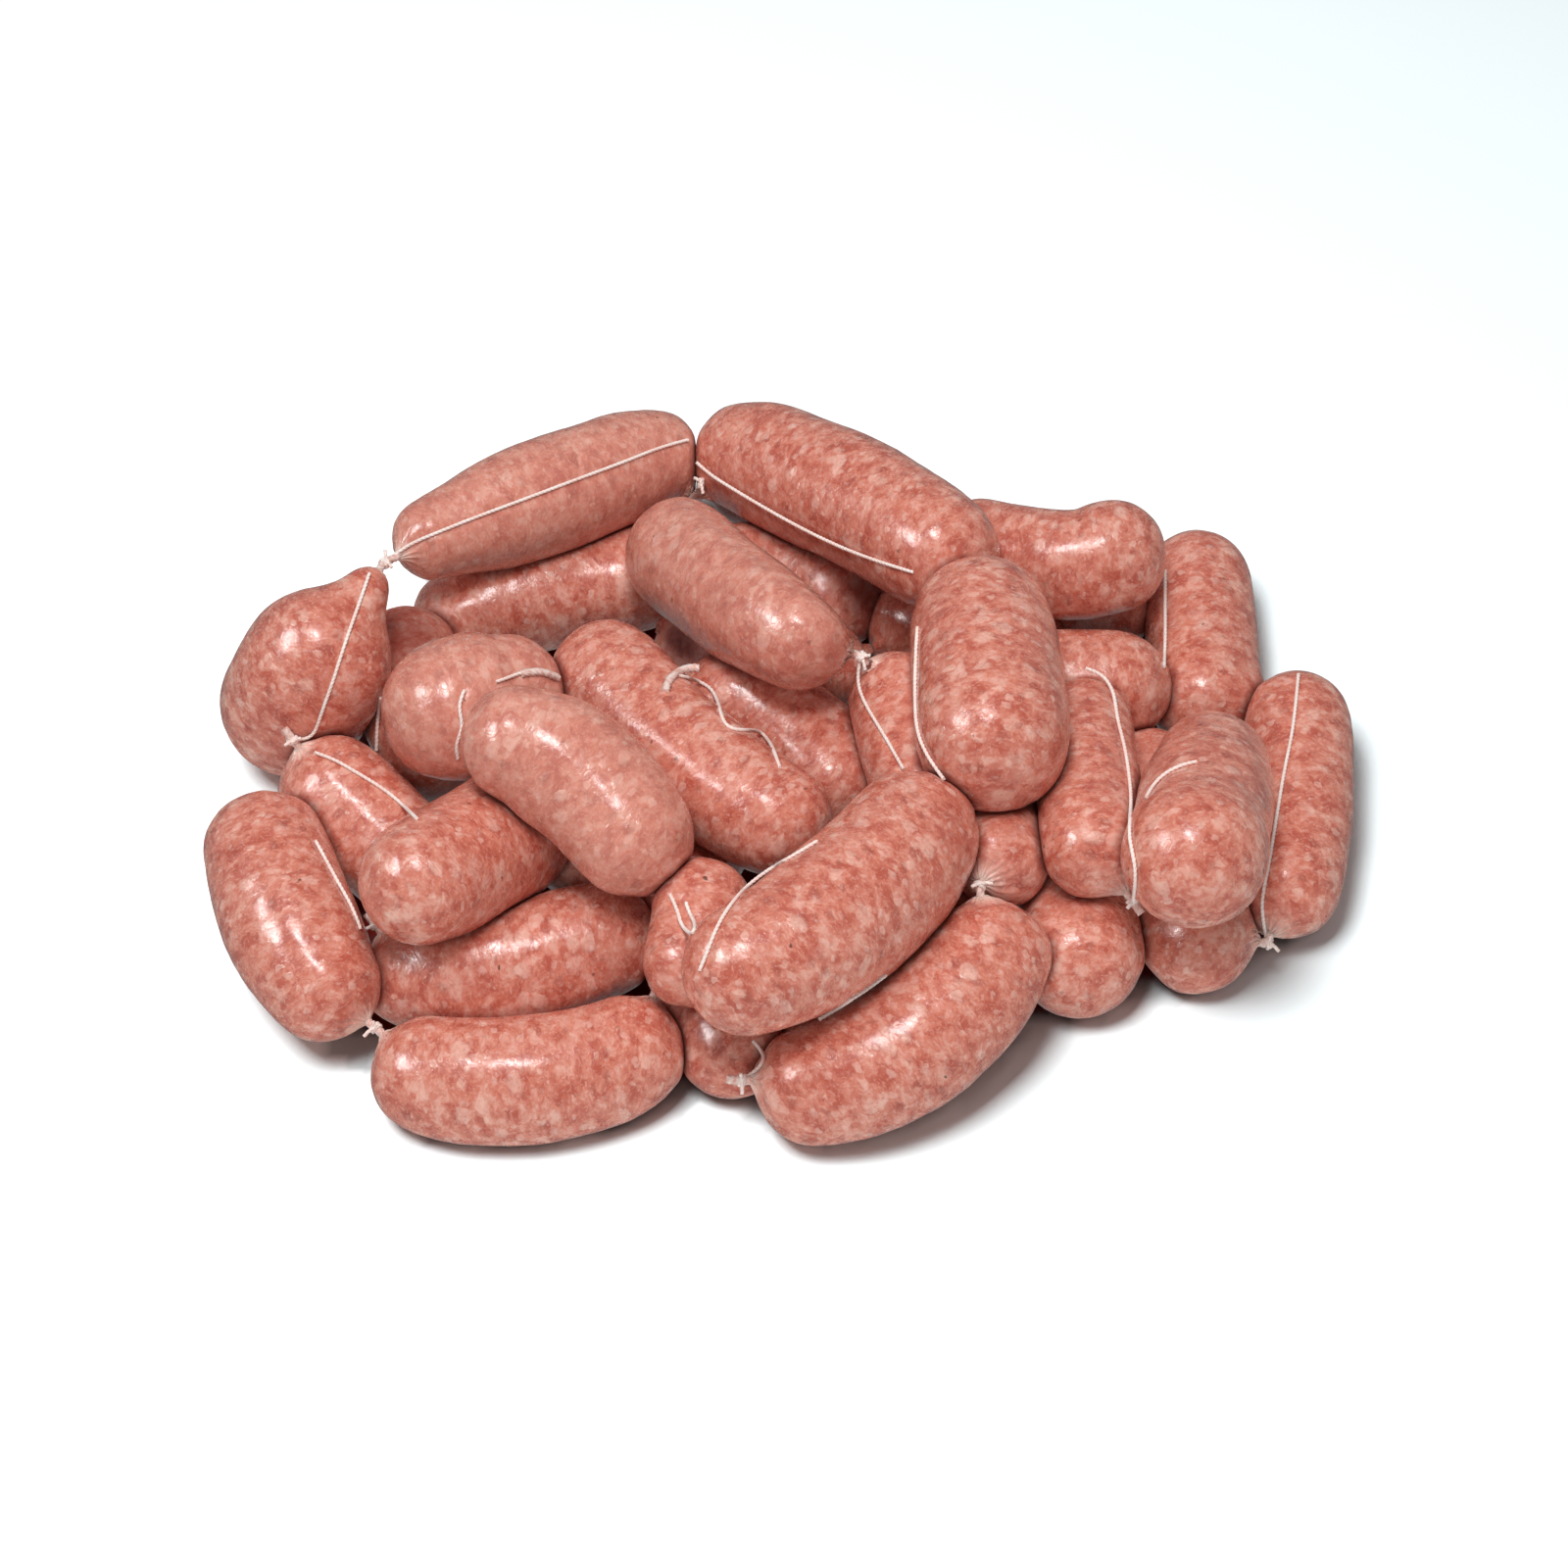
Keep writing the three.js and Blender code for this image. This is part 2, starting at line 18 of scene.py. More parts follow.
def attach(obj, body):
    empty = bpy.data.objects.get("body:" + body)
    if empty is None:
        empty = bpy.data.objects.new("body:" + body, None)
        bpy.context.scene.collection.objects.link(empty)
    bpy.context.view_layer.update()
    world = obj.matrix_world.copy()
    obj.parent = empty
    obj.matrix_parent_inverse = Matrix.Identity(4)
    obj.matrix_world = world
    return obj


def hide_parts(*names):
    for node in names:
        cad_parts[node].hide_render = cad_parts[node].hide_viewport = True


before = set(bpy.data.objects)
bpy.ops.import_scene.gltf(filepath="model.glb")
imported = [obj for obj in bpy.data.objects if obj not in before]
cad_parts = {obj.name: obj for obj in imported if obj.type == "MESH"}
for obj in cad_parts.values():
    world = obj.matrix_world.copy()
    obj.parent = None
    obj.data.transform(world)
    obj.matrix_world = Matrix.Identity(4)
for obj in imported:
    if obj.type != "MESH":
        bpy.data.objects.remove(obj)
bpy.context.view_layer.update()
MM = 0.001
link_nodes = sorted(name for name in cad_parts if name.startswith("link_"))
twine_nodes = sorted(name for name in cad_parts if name.startswith("twine_"))
knot_nodes = sorted(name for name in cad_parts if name.startswith("tie_"))
print("links", len(link_nodes), "twines", len(twine_nodes), "knots alone", len(knot_nodes))

# %% [markdown]
# The photograph was taken from in front and well above, so the camera stands there too. A long lens
# keeps the far links as large as the near ones. The same numbers turn a pixel of the photograph into
# a line of sight, which later says where the twine lies.

# %% Camera and lines of sight
PICTURE_SIZE = 1600
FOCAL_PIXELS = 3500
SENSOR_MM = 36
VIEW_TILT = math.radians(50)
LOOKED_AT = Vector((-0.92, -21.66, 30)) * MM
to_viewer = Vector((0, -math.cos(VIEW_TILT), math.sin(VIEW_TILT)))
picture_up = Vector((0, math.sin(VIEW_TILT), math.cos(VIEW_TILT)))
eye = LOOKED_AT + to_viewer

camera_data = bpy.data.cameras.new("camera")
camera_data.lens = SENSOR_MM * FOCAL_PIXELS / PICTURE_SIZE
camera_data.sensor_width = SENSOR_MM
camera = bpy.data.objects.new("camera", camera_data)
bpy.context.scene.collection.objects.link(camera)
camera.location = eye
camera.rotation_mode = "QUATERNION"
camera.rotation_quaternion = (-to_viewer).to_track_quat("-Z", "Y")
bpy.context.scene.camera = camera


def sight(pixel):
    across = pixel[0] - PICTURE_SIZE / 2
    above = PICTURE_SIZE / 2 - pixel[1]
    ray = -to_viewer * FOCAL_PIXELS + Vector((across, 0, 0)) + picture_up * above
    return ray.normalized()


print("lens", camera_data.lens, "mm from", tuple(round(c, 3) for c in eye))

# %% [markdown]
# A node tree reads badly as a list of sockets. The small class below wraps a socket, so that a pattern
# is written as a sum. Every other node comes from one method, add: its type, its settings and its
# sockets. The methods after it are the few nodes that this heap needs again and again.

# %% Writing nodes as sums


class Wire:
    def __init__(self, bench, socket):
        self.bench = bench
        self.socket = socket

    def maths(self, operation, *others):
        sockets = dict(enumerate((self, *others)))
        return self.bench.add("ShaderNodeMath", {"operation": operation}, sockets)

    def __add__(self, other):
        return self.maths("ADD", other)

    __radd__ = __add__

    def __mul__(self, other):
        return self.maths("MULTIPLY", other)

    __rmul__ = __mul__

    def __sub__(self, other):
        return self.maths("SUBTRACT", other)

    def __rsub__(self, other):
        return (self * -1.0).maths("ADD", other)

    def __truediv__(self, other):
        return self.maths("DIVIDE", other)

    def __rtruediv__(self, other):
        return self ** -1.0 * other

    def __pow__(self, other):
        return self.maths("POWER", other)

    def part(self, name):
        return Wire(self.bench, self.socket.node.outputs[name])


class Bench:
    def __init__(self, tree):
        self.tree = tree

    def add(self, kind, settings=None, sockets=None, out=0):
        node = self.tree.nodes.new(kind)
        for key, value in (settings or {}).items():
            setattr(node, key, value)
        for key, value in (sockets or {}).items():
            if isinstance(value, Wire):
                self.tree.links.new(value.socket, node.inputs[key])
            else:
                node.inputs[key].default_value = value
        return Wire(self, node.outputs[out] if node.outputs else None)

    def vector(self, operation, sockets, out=0):
        return self.add("ShaderNodeVectorMath", {"operation": operation}, sockets, out)

    def note(self, name, out="Fac"):
        return self.add("ShaderNodeAttribute", {"attribute_name": name}, out=out)

    def step(self, value, low, high):
        sockets = {"Value": value, "From Min": low, "From Max": high}
        return self.add("ShaderNodeMapRange", {"interpolation_type": "SMOOTHSTEP"}, sockets)

    def blend(self, factor, first, second):
        settings = {"data_type": "RGBA", "clamp_factor": True}
        return self.add("ShaderNodeMix", settings, {0: factor, 6: first, 7: second}, out=2)

    def shifted(self, vector, other, scale):
        return self.vector("MULTIPLY_ADD", {0: other, 1: scale, 2: vector})

    def noise(self, vector, size, detail=2.0, rough=0.5):
        sockets = {"Vector": vector, "Scale": 1 / size, "Detail": detail, "Roughness": rough}
        return self.add("ShaderNodeTexNoise", {}, sockets)

    def cells(self, vector, size):
        return self.add("ShaderNodeTexVoronoi", {}, {"Vector": vector, "Scale": 1 / size})


print("node bench ready")

# %% [markdown]
# ## The meat
# Coarse mince is lean meat and fat, cut to bits of a few millimetres. The casing over it is a thin
# milky skin, wet on the outside. A single flat pink would look like rubber, so the colour is built in
# layers: lean with darker strands, pale crumbs of fat in two sizes, fine grain, a rare speck of pepper,
# and over all of it a faint milk for the casing. Light enters raw meat, so a little of it scatters
# below the surface. First come the colours, as they look on a screen.

# %% Colours of meat, fat and casing


def shade(red, green, blue):
    def linear(value):
        value /= 255
        return value / 12.92 if value <= 0.04045 else ((value + 0.055) / 1.055) ** 2.4

    return (linear(red), linear(green), linear(blue), 1)


def new_finish(name):
    finish = bpy.data.materials.new(name)
    finish.use_nodes = True
    finish.node_tree.nodes.clear()
    return finish, Bench(finish.node_tree)


def close_finish(bench, sockets, settings):
    surface = bench.add("ShaderNodeBsdfPrincipled", {}, {**settings, **sockets})
    bench.add("ShaderNodeOutputMaterial", {}, {"Surface": surface})


LEAN = shade(214, 127, 106)
DEEP = shade(186, 80, 60)
DARKEST = shade(146, 48, 34)
FAT = shade(243, 197, 181)
MILK = shade(222, 164, 147)
CASING = shade(242, 216, 204)
PEPPER = shade(74, 44, 32)
# painted shade: the dark red put into creases, beside the twine, in unlit places and on the table under the
# heap
PAINTED_SHADE_RED = shade(104, 24, 17)
print("lean meat in linear light", [round(part, 3) for part in LEAN])

# %% [markdown]
# The pattern is looked up in millimetres. Each link adds its own batch number, so no two links are cut
# from the same picture. The filling screw lays the bits across the casing, so the pattern is squeezed
# along the link, and two soft warps take away the straight edges of the cells. A bit is a cell that
# chance has picked, and a second draw from the same cell says how large it is.

# %% Where in the mince a point lies
SQUEEZE = 0.35
WARPS = [(7.0, 1.0, 3.0), (1.9, 1.5, 2.0)]
SMALLEST_BIT, BIT_SPREAD = 0.22, 0.4


def mince_place(b):
    place = b.add("ShaderNodeTexCoord", out="Object")
    batch = b.note("batch", "Vector")
    lie = b.note("lie", "Vector")
    place = b.shifted(batch, place, (1 / MM,) * 3)
    along = b.vector("DOT_PRODUCT", {0: place, 1: lie}, out="Value")
    squeeze = b.vector("SCALE", {0: lie, "Scale": along * SQUEEZE})
    place = b.vector("ADD", {0: place, 1: squeeze})
    for size, detail, reach in WARPS:
        place = b.shifted(place, b.noise(place, size, detail).part("Color"), (reach,) * 3)
    return place


def crumbs_of(b, place, size, share, soft):
    cells = b.cells(place, size)
    chance = b.add("ShaderNodeSeparateColor", {}, {0: cells.part("Color")})
    reach = chance.part("Green") * BIT_SPREAD + SMALLEST_BIT
    return b.step(reach - cells, 0.0, soft) * b.step(chance, 1 - share, 1.1 - share)


print("warps of the mince", len(WARPS))

# %% [markdown]
# Now the layers, from the broad patches down to the grain, with sizes in millimetres. Two notes on the skin
# steer them too: "tied" whitens the gathered casing at a knot, and a note of shade paints dark red shade
# into the creases and dulls them there. The wet shine comes and goes in patches, as on damp skin.

# %% Meat finish
BROAD, PATCH, BLOTCH, GRAIN = 15.0, 5.5, 2.8, 1.1
LUMP, CRUMB, DARK_BIT, SPECK = 6.5, 3.2, 5.0, 9.0
ASIDE = (31.0, 7.0, 53.0)
FAINT_MILK, FULL_MILK = 0.12, 0.36


def meat_finish(name, milk):
    finish, b = new_finish(name)
    place = mince_place(b)
    aside = b.vector("ADD", {0: place, 1: ASIDE})
    broad = b.noise(place, BROAD, 1.5)
    patches = b.noise(aside, PATCH, 2.0, 0.55)
    blotch = b.noise(place, BLOTCH, 2.0, 0.5)
    grain = b.noise(place, GRAIN, 2.5, 0.6)
    lumps = crumbs_of(b, place, LUMP, share=0.42, soft=0.3)
    crumbs = crumbs_of(b, aside, CRUMB, share=0.4, soft=0.22)
    dark = crumbs_of(b, aside, DARK_BIT, share=0.45, soft=0.3)
    speck = crumbs_of(b, place, SPECK, share=0.16, soft=0.06) * b.step(b.cells(place, SPECK), 0.11, 0.07)

    redness = patches * 0.55 + blotch * 0.3 + broad * 0.15
    colour = b.blend(b.step(redness, 0.47, 0.62), LEAN, DEEP)
    colour = b.blend(dark * 0.5, colour, DARKEST)
    colour = b.blend(b.step(redness, 0.5, 0.36) * 0.5, colour, FAT)
    colour = b.blend(lumps * 0.55, colour, FAT)
    colour = b.blend(crumbs * 0.5, colour, FAT)
    colour = b.blend(b.step(grain, 0.5, 0.7) * 0.35, colour, FAT)
    colour = b.blend(b.step(grain, 0.5, 0.28) * 0.4, colour, DEEP)
    colour = b.blend(milk, colour, MILK)
    colour = b.blend(speck * 0.8, colour, PEPPER)
    tied = b.note("tied")
    colour = b.blend(tied * 0.8, colour, CASING)
    deep = b.note("deep")
    # painted shade, dark red, where the skin lies close to a neighbour, by the twine and in unlit places
    colour = b.blend(b.step(deep, 0.35, 1.0) * 0.9, colour, PAINTED_SHADE_RED)

    height = lumps * 0.5 + crumbs * 0.3 + blotch * 0.7 + patches * 0.5 + grain * 0.25
    bump = b.add("ShaderNodeBump", {}, {"Strength": 0.55, "Distance": 0.45 * MM, "Height": height})
    rough = b.step(grain * 0.5 + blotch * 0.5, 0.3, 0.7) * 0.16 + 0.17 + b.step(deep, 0.25, 0.85) * 0.6
    wet = b.step(deep, 0.8, 0.0) * b.step(patches, 0.36, 0.56) * 0.65
    close_finish(b, {"Base Color": colour, "Roughness": rough, "Coat Weight": wet, "Normal": bump}, {
        "IOR": 1.5, "Coat Roughness": 0.2, "Coat IOR": 1.5,
        "Subsurface Weight": 0.35, "Subsurface Radius": (1.0, 0.35, 0.22), "Subsurface Scale": 2.0 * MM,
    })
    return finish


meat = meat_finish("coarse meat", FAINT_MILK)
pale_meat = meat_finish("milky meat", FULL_MILK)
print("meat finishes", meat.name, pale_meat.name)

# %% [markdown]
# Cotton twine is off-white and dull, and soaks up a little of the pink. The casing at a neck has no
# meat in it: it is gathered, nearly white and a little glassy.

# %% Twine and neck finishes


def place_in_mm(b):
    place = b.add("ShaderNodeTexCoord", out="Object")
    return b.vector("SCALE", {0: place, "Scale": 1 / MM})


def twine_finish():
    finish, b = new_finish("cotton twine")
    place = place_in_mm(b)
    soak = b.noise(place, 6.0, 2.0)
    fibre = b.noise(place, 0.5, 3.0, 0.7)
    colour = b.blend(b.step(soak, 0.35, 0.7) * 0.6, shade(255, 242, 235), shade(250, 214, 202))
    colour = b.blend(b.step(fibre, 0.4, 0.75) * 0.3, colour, shade(228, 180, 166))
    bump = b.add("ShaderNodeBump", {}, {"Strength": 0.4, "Distance": 0.1 * MM, "Height": fibre})
    rough = b.step(soak, 0.3, 0.7) * 0.2 + 0.6
    close_finish(b, {"Base Color": colour, "Roughness": rough, "Normal": bump}, {
        "IOR": 1.45, "Subsurface Weight": 0.15, "Subsurface Radius": (1.0, 0.8, 0.7),
        "Subsurface Scale": 0.5 * MM,
    })
    return finish


def neck_finish():
    finish, b = new_finish("gathered casing")
    place = place_in_mm(b)
    folds = b.noise(place, 1.4, 3.0, 0.6)
    colour = b.blend(b.step(folds, 0.35, 0.7), shade(246, 226, 218), shade(222, 170, 156))
    bump = b.add("ShaderNodeBump", {}, {"Strength": 0.5, "Distance": 0.2 * MM, "Height": folds})
    rough = b.step(folds, 0.3, 0.7) * 0.2 + 0.3
    close_finish(b, {"Base Color": colour, "Roughness": rough, "Normal": bump}, {
        "IOR": 1.4, "Coat Weight": 0.4, "Coat Roughness": 0.2,
        "Subsurface Weight": 0.4, "Subsurface Radius": (1.0, 0.6, 0.5), "Subsurface Scale": 1.0 * MM,
    })
    return finish


cotton = twine_finish()
gathered = neck_finish()
print("finishes", cotton.name, gathered.name)

# %% [markdown]
# ## The links
# The CAD model draws each link as a few rings of twelve points from tip to tip. That is enough to
# place it, but a full sausage is perfectly smooth. Subdividing the facets would shrink the link, so
# instead the rings are read back and a smooth curve is drawn through every point, first from tip to
# tip and then round. The new skin passes through the solid's own points and so keeps its size.

# %% Read the rings of a link
SIDES = 12


def near_way(ring, other):
    ring_middle = sum(ring, Vector()) / len(ring)
    other_middle = sum(other, Vector()) / len(other)
    best = None
    for order in (other, other[::-1]):
        for first in range(len(order)):
            turned = order[first:] + order[:first]
            pairs = zip(ring, turned)
            far = sum(((a - ring_middle) - (b - other_middle)).length_squared for a, b in pairs)
            if best is None or far < best[0]:
                best = (far, turned)
    return best[1]


def read_rings(name):
    bm = bmesh.new()
    bm.from_mesh(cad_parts[name].data)
    bmesh.ops.remove_doubles(bm, verts=bm.verts, dist=1e-6)
    poles = [v for v in bm.verts if len(v.link_edges) == SIDES]
    seen, level, rings = {poles[0]}, [poles[0]], []
    while level:
        level = [v for v in {e.other_vert(u) for u in level for e in u.link_edges} if v not in seen]
        seen.update(level)
        if len(level) == SIDES:
            members, here, ring = set(level), level[0], []
            while here is not None:
                ring.append(here.co.copy())
                members.discard(here)
                steps = [e.other_vert(here) for e in here.link_edges if e.other_vert(here) in members]
                here = steps[0] if steps else None
            rings.append(near_way(rings[-1], ring) if rings else ring)
    tips = poles[0].co.copy(), poles[1].co.copy()
    bm.free()
    return tips, rings


tips, rings = read_rings(link_nodes[0])
print(link_nodes[0], "has", len(rings), "rings and is", round((tips[1] - tips[0]).length / MM), "mm long")

# %% [markdown]
# Two kinds of smooth curve are needed. From tip to tip the rings are unevenly spaced, so that curve
# is a natural cubic spline through its points by distance. Past each tip it runs on down the
# opposite side, so the tip is round and not pointed. Round the link the points are even and the curve
# closes on itself.

# %% Smooth curves through the points
TIP_CROWDING = 0.07
SEEN_GRID = 128, 96
HIDDEN_GRID = 56, 48


def spline_through(knots, points, wanted):
    gaps = np.diff(knots)
    count = len(knots)
    matrix = np.eye(count)
    right = np.zeros((count,) + points.shape[1:])
    slopes = np.diff(points, axis=0) / gaps.reshape(-1, *[1] * (points.ndim - 1))
    for i in range(1, count - 1):
        matrix[i, i - 1 : i + 2] = gaps[i - 1], 2 * (gaps[i - 1] + gaps[i]), gaps[i]
        right[i] = 6 * (slopes[i] - slopes[i - 1])
    bend = np.linalg.solve(matrix, right.reshape(count, -1)).reshape(right.shape)
    i = np.clip(np.searchsorted(knots, wanted) - 1, 0, count - 2)
    width = gaps[i].reshape(-1, *[1] * (points.ndim - 1))
    a = (knots[i + 1] - wanted).reshape(width.shape) / width
    b = 1 - a
    curved = ((a**3 - a) * bend[i] + (b**3 - b) * bend[i + 1]) * width**2 / 6
    return a * points[i] + b * points[i + 1] + curved


def round_and_round(points, count):
    sides = points.shape[1]
    matrix = np.zeros((sides, sides))
    for i in range(sides):
        matrix[i, i] = 4 / 6
        matrix[i, (i + 1) % sides] = matrix[i, i - 1] = 1 / 6
    pull = np.einsum("ij,njk->nik", np.linalg.inv(matrix), points)
    turn = np.arange(count) * sides / count
    i = np.floor(turn).astype(int)
    t = (turn - i).reshape(1, -1, 1)
    weights = ((1 - t) ** 3, 3 * t**3 - 6 * t**2 + 4, -3 * t**3 + 3 * t**2 + 3 * t + 1, t**3)
    return sum(w * pull[:, (i + k - 1) % sides] for k, w in enumerate(weights)) / 6


def smooth_rings(tips, rings, along, around):
    ring_points = np.array([[tuple(p) for p in ring] for ring in rings])
    tip_points = [np.tile(np.array(tip), (1, SIDES, 1)) for tip in tips]
    far_side = np.roll(ring_points, SIDES // 2, axis=1)
    points = np.concatenate([far_side[1::-1], tip_points[0], ring_points, tip_points[1], far_side[:-3:-1]])
    steps = np.linalg.norm(np.diff(points, axis=0), axis=2).mean(axis=1)
    knots = np.concatenate([[0], np.cumsum(steps)])
    start, stop = knots[2], knots[-3]
    u = np.linspace(0, 1, along)
    wanted = start + (stop - start) * (u - TIP_CROWDING * np.sin(2 * np.pi * u))
    fine = round_and_round(spline_through(knots, points, wanted), around)
    return fine, wanted - start


fine, distance = smooth_rings(tips, rings, *SEEN_GRID)
print("smooth skin", fine.shape, "skin length", round(distance[-1] / MM), "mm")

# %% [markdown]
# A skin also carries three notes for the finish and the relief: how close a point is to a tied end, its
# turn round the link, and the way the whole link lies. The mesh is rings of quads with a fan at each
# tip. One link runs to its tie like a wedge in the photograph, so its rings shrink towards that end.

# %% Make a skin mesh
TAPERS = {"link_left_side": 0.6}
TAPER_REACH = 30 * MM
NO_TIE = 1.0


def taper_rings(fine, from_end, strength):
    middle = fine.mean(axis=1, keepdims=True)
    share = np.clip(from_end / TAPER_REACH, 0, 1)
    kept = 1 - strength * (1 - share * share * (3 - 2 * share))
    return middle + (fine - middle) * kept[:, None, None]


def skin_mesh(name, along, around, reach):
    tips, rings = read_rings(name)
    fine, distance = smooth_rings(tips, rings, along, around)
    for tied, from_end in zip(reach, (distance, distance[-1] - distance)):
        if tied and name in TAPERS:
            fine = taper_rings(fine, from_end, TAPERS[name])
    body = fine[1:-1]
    points = np.concatenate([[fine[0, 0]], body.reshape(-1, 3), [fine[-1, 0]]])
    last = len(points) - 1
    faces = []
    for j in range(around):
        k = (j + 1) % around
        faces.append((0, 1 + k, 1 + j))
        faces.append((last, last - around + j, last - around + k))
    for i in range(along - 3):
        low = 1 + i * around
        for j in range(around):
            k = (j + 1) % around
            faces.append((low + j, low + k, low + around + k, low + around + j))
    mesh = bpy.data.meshes.new(name.replace("link_", "sausage_"))
    mesh.from_pydata([tuple(p) for p in points], [], faces)
    spread = (distance[1:-1, None] * np.ones(around)).ravel()
    near = np.concatenate([[0], spread, [distance[-1]]])
    ends = near, distance[-1] - near
    turn = np.tile(np.arange(around) * 2 * np.pi / around, along - 2)
    notes = {
        "from_tie": np.minimum(*[np.where(tied, end, NO_TIE) for end, tied in zip(ends, reach)]),
        "turn": np.concatenate([[0], turn, [0]]),
    }
    for key, values in notes.items():
        note = mesh.attributes.new(key, "FLOAT", "POINT")
        note.data.foreach_set("value", values.astype(np.float32))
    lie = (tips[1] - tips[0]).normalized()
    note = mesh.attributes.new("lie", "FLOAT_VECTOR", "POINT")
    note.data.foreach_set("vector", np.tile(np.array(lie, np.float32), len(points)))
    face_normals = bmesh.new()
    face_normals.from_mesh(mesh)
    bmesh.ops.recalc_face_normals(face_normals, faces=face_normals.faces)
    face_normals.to_mesh(mesh)
    face_normals.free()
    return mesh


print("skin notes: from_tie, turn, lie")

# %% [markdown]
# The knots are needed before the skins, because a skin is gathered towards its knot. In the CAD model a
# knot is a small ball, sometimes joined to the end of a twine. Looking along the knot's line of sight
# gives a first guess, and fitting a sphere to the points round it gives the exact middle.

# %% Find the knots
KNOT_RADIUS = 2.3 * MM
SEARCH_ROUNDS = 9
SEARCH_SHRINKS = 0.6
BALL_SLACK = 0.25 * MM
ON_BALL = 0.05 * MM
KNOTS = {
    "left_back": ("twine_back_left", (392, 575)),
    "back": ("twine_back_middle", (711, 476)),
    "front_left": ("tie_front_left", (381, 1047)),
    "front": ("tie_front", (686, 1026)),
    "middle": ("tie_middle", (1010, 905)),
    "crown": ("twine_cross_gap", (878, 676)),
    "right_inner": ("twine_right_inner", (1156, 920)),
    "right": ("twine_right_side", (1286, 938)),
    "left_front": ("tie_left_front", (379, 965)),
    "inner": ("twine_inner_middle", (694, 693)),
    "notch": ("twine_notch", (772, 1098)),
    "left": ("twine_left_side", (315, 762)),
}


def find_knot(node, pixel):
    points = np.array([v.co[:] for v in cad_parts[node].data.vertices])
    points = np.unique(points.round(7), axis=0)
    ray = np.array(sight(pixel))
    along = (points - np.array(eye)) @ ray
    off = np.linalg.norm(points - np.array(eye) - along[:, None] * ray, axis=1)
    close = points[off < off.min() + 2 * KNOT_RADIUS]
    steps = np.arange(-1.5, 1.6, 0.5) * KNOT_RADIUS
    around = np.stack(np.meshgrid(steps, steps, steps), axis=-1).reshape(-1, 3)
    middle, reach = close.mean(axis=0), 1.0
    for _ in range(SEARCH_ROUNDS):
        tries = middle + around * reach
        far = np.linalg.norm(close[None] - tries[:, None], axis=2)
        on_ball = np.exp(-(((far - KNOT_RADIUS) / (BALL_SLACK * max(reach, 0.2))) ** 2)).sum(axis=1)
        middle = tries[on_ball.argmax()]
        reach *= SEARCH_SHRINKS
    off_ball = np.abs(np.linalg.norm(close - middle, axis=1) - KNOT_RADIUS)
    return Vector(middle), int((off_ball < ON_BALL).sum())


knots = {}
for name, (node, pixel) in KNOTS.items():
    knots[name], size = find_knot(node, pixel)
    print("knot", name, [round(c / MM, 1) for c in knots[name]], "points on its ball", size)

# %% [markdown]
# A knot closes the neck between two links, or the end of one where the other is out of sight. The tip
# of a link that lies nearer to the knot is its tied one.

# %% Which tips are tied
NECK_LINKS = {
    "left_back": ("left_side", "back_left"), "back": ("back_left", "back_middle"), "left": ("left_low",),
    "front_left": ("corner_left", "front_left"), "front": ("front_left",),
    "middle": ("right_gap", "front_right"), "crown": ("crown_left", "cross_gap"),
    "right_inner": ("right_inner",), "right": ("corner_right", "right_side"),
    "left_front": ("left_front_middle",), "inner": ("inner_middle",), "notch": ("front_right",),
}


def tied_tip(link, knot):
    tips, rings = read_rings("link_" + link)
    end = 0 if (tips[0] - knot).length < (tips[1] - knot).length else 1
    return end, tips[end], sum(rings[-end], Vector()) / len(rings[-end])


tied_ends = {
    ("link_" + link, tied_tip(link, knots[name])[0]) for name in KNOTS for link in NECK_LINKS[name]
}
print("tied tips", len(tied_ends))

# %% [markdown]
# ## Relief of the casing
# The mince pushes the skin out in soft lumps, and near a tie the casing is drawn into pleats that run
# to the knot. Both follow a rule, so Geometry Nodes make them: noise and pleats move the points along
# their normals. The sizes are inputs of the tree, and the seed is fixed for each link.

# %% Begin and end a Geometry Nodes tree


def new_tree(name, inputs):
    tree = bpy.data.node_groups.new(name, "GeometryNodeTree")
    tree.interface.new_socket("Geometry", in_out="INPUT", socket_type="NodeSocketGeometry")
    tree.interface.new_socket("Geometry", in_out="OUTPUT", socket_type="NodeSocketGeometry")
    for key, kind in inputs.items():
        tree.interface.new_socket(key, in_out="INPUT", socket_type=kind)
    bench = Bench(tree)
    return tree, bench, bench.add("NodeGroupInput")


def named(bench, key):
    return bench.add("GeometryNodeInputNamedAttribute", {"data_type": "FLOAT"}, {"Name": key})


def finish_tree(bench, geometry, finish):
    geometry = bench.add("GeometryNodeSetShadeSmooth", {}, {"Geometry": geometry})
    geometry = bench.add("GeometryNodeRealizeInstances", {}, {0: geometry})
    geometry = bench.add("GeometryNodeSetMaterial", {}, {"Geometry": geometry, "Material": finish})
    bench.add("NodeGroupOutput", {}, {0: geometry})


print("trees end in Realize Instances and Set Material")

# %% Geometry Nodes tree for the casing
PLEAT_WANDER, FINE_PLEAT_WANDER = 14.0, 9.0
CLOSED_TIP = 2.0 * MM
BATCH_WAYS = (17.0, 31.0, 11.0)
casing_tree, b, given = new_tree("casing relief", {
    "Lump Height": "NodeSocketFloat", "Lump Size": "NodeSocketFloat",
    "Crumb Height": "NodeSocketFloat", "Crumb Size": "NodeSocketFloat",
    "Pleat Depth": "NodeSocketFloat", "Pleats": "NodeSocketFloat", "Pleat Reach": "NodeSocketFloat",
    "Batch": "NodeSocketFloat", "Finish": "NodeSocketMaterial",
})
place = b.add("GeometryNodeInputPosition")
seeded = b.add("ShaderNodeCombineXYZ", {}, {0: given.part("Batch"), 1: given.part("Batch"), 2: 0.0})
place = b.vector("ADD", {0: place, 1: seeded})
lumps = b.noise(place, given.part("Lump Size"), 1.0)
crumbs = b.noise(place, given.part("Crumb Size"), 1.5)
from_tie = named(b, "from_tie")
turn = named(b, "turn")
fade = b.step(from_tie, given.part("Pleat Reach"), 0.0)
wave = (turn * given.part("Pleats") + lumps * PLEAT_WANDER).maths("SINE")
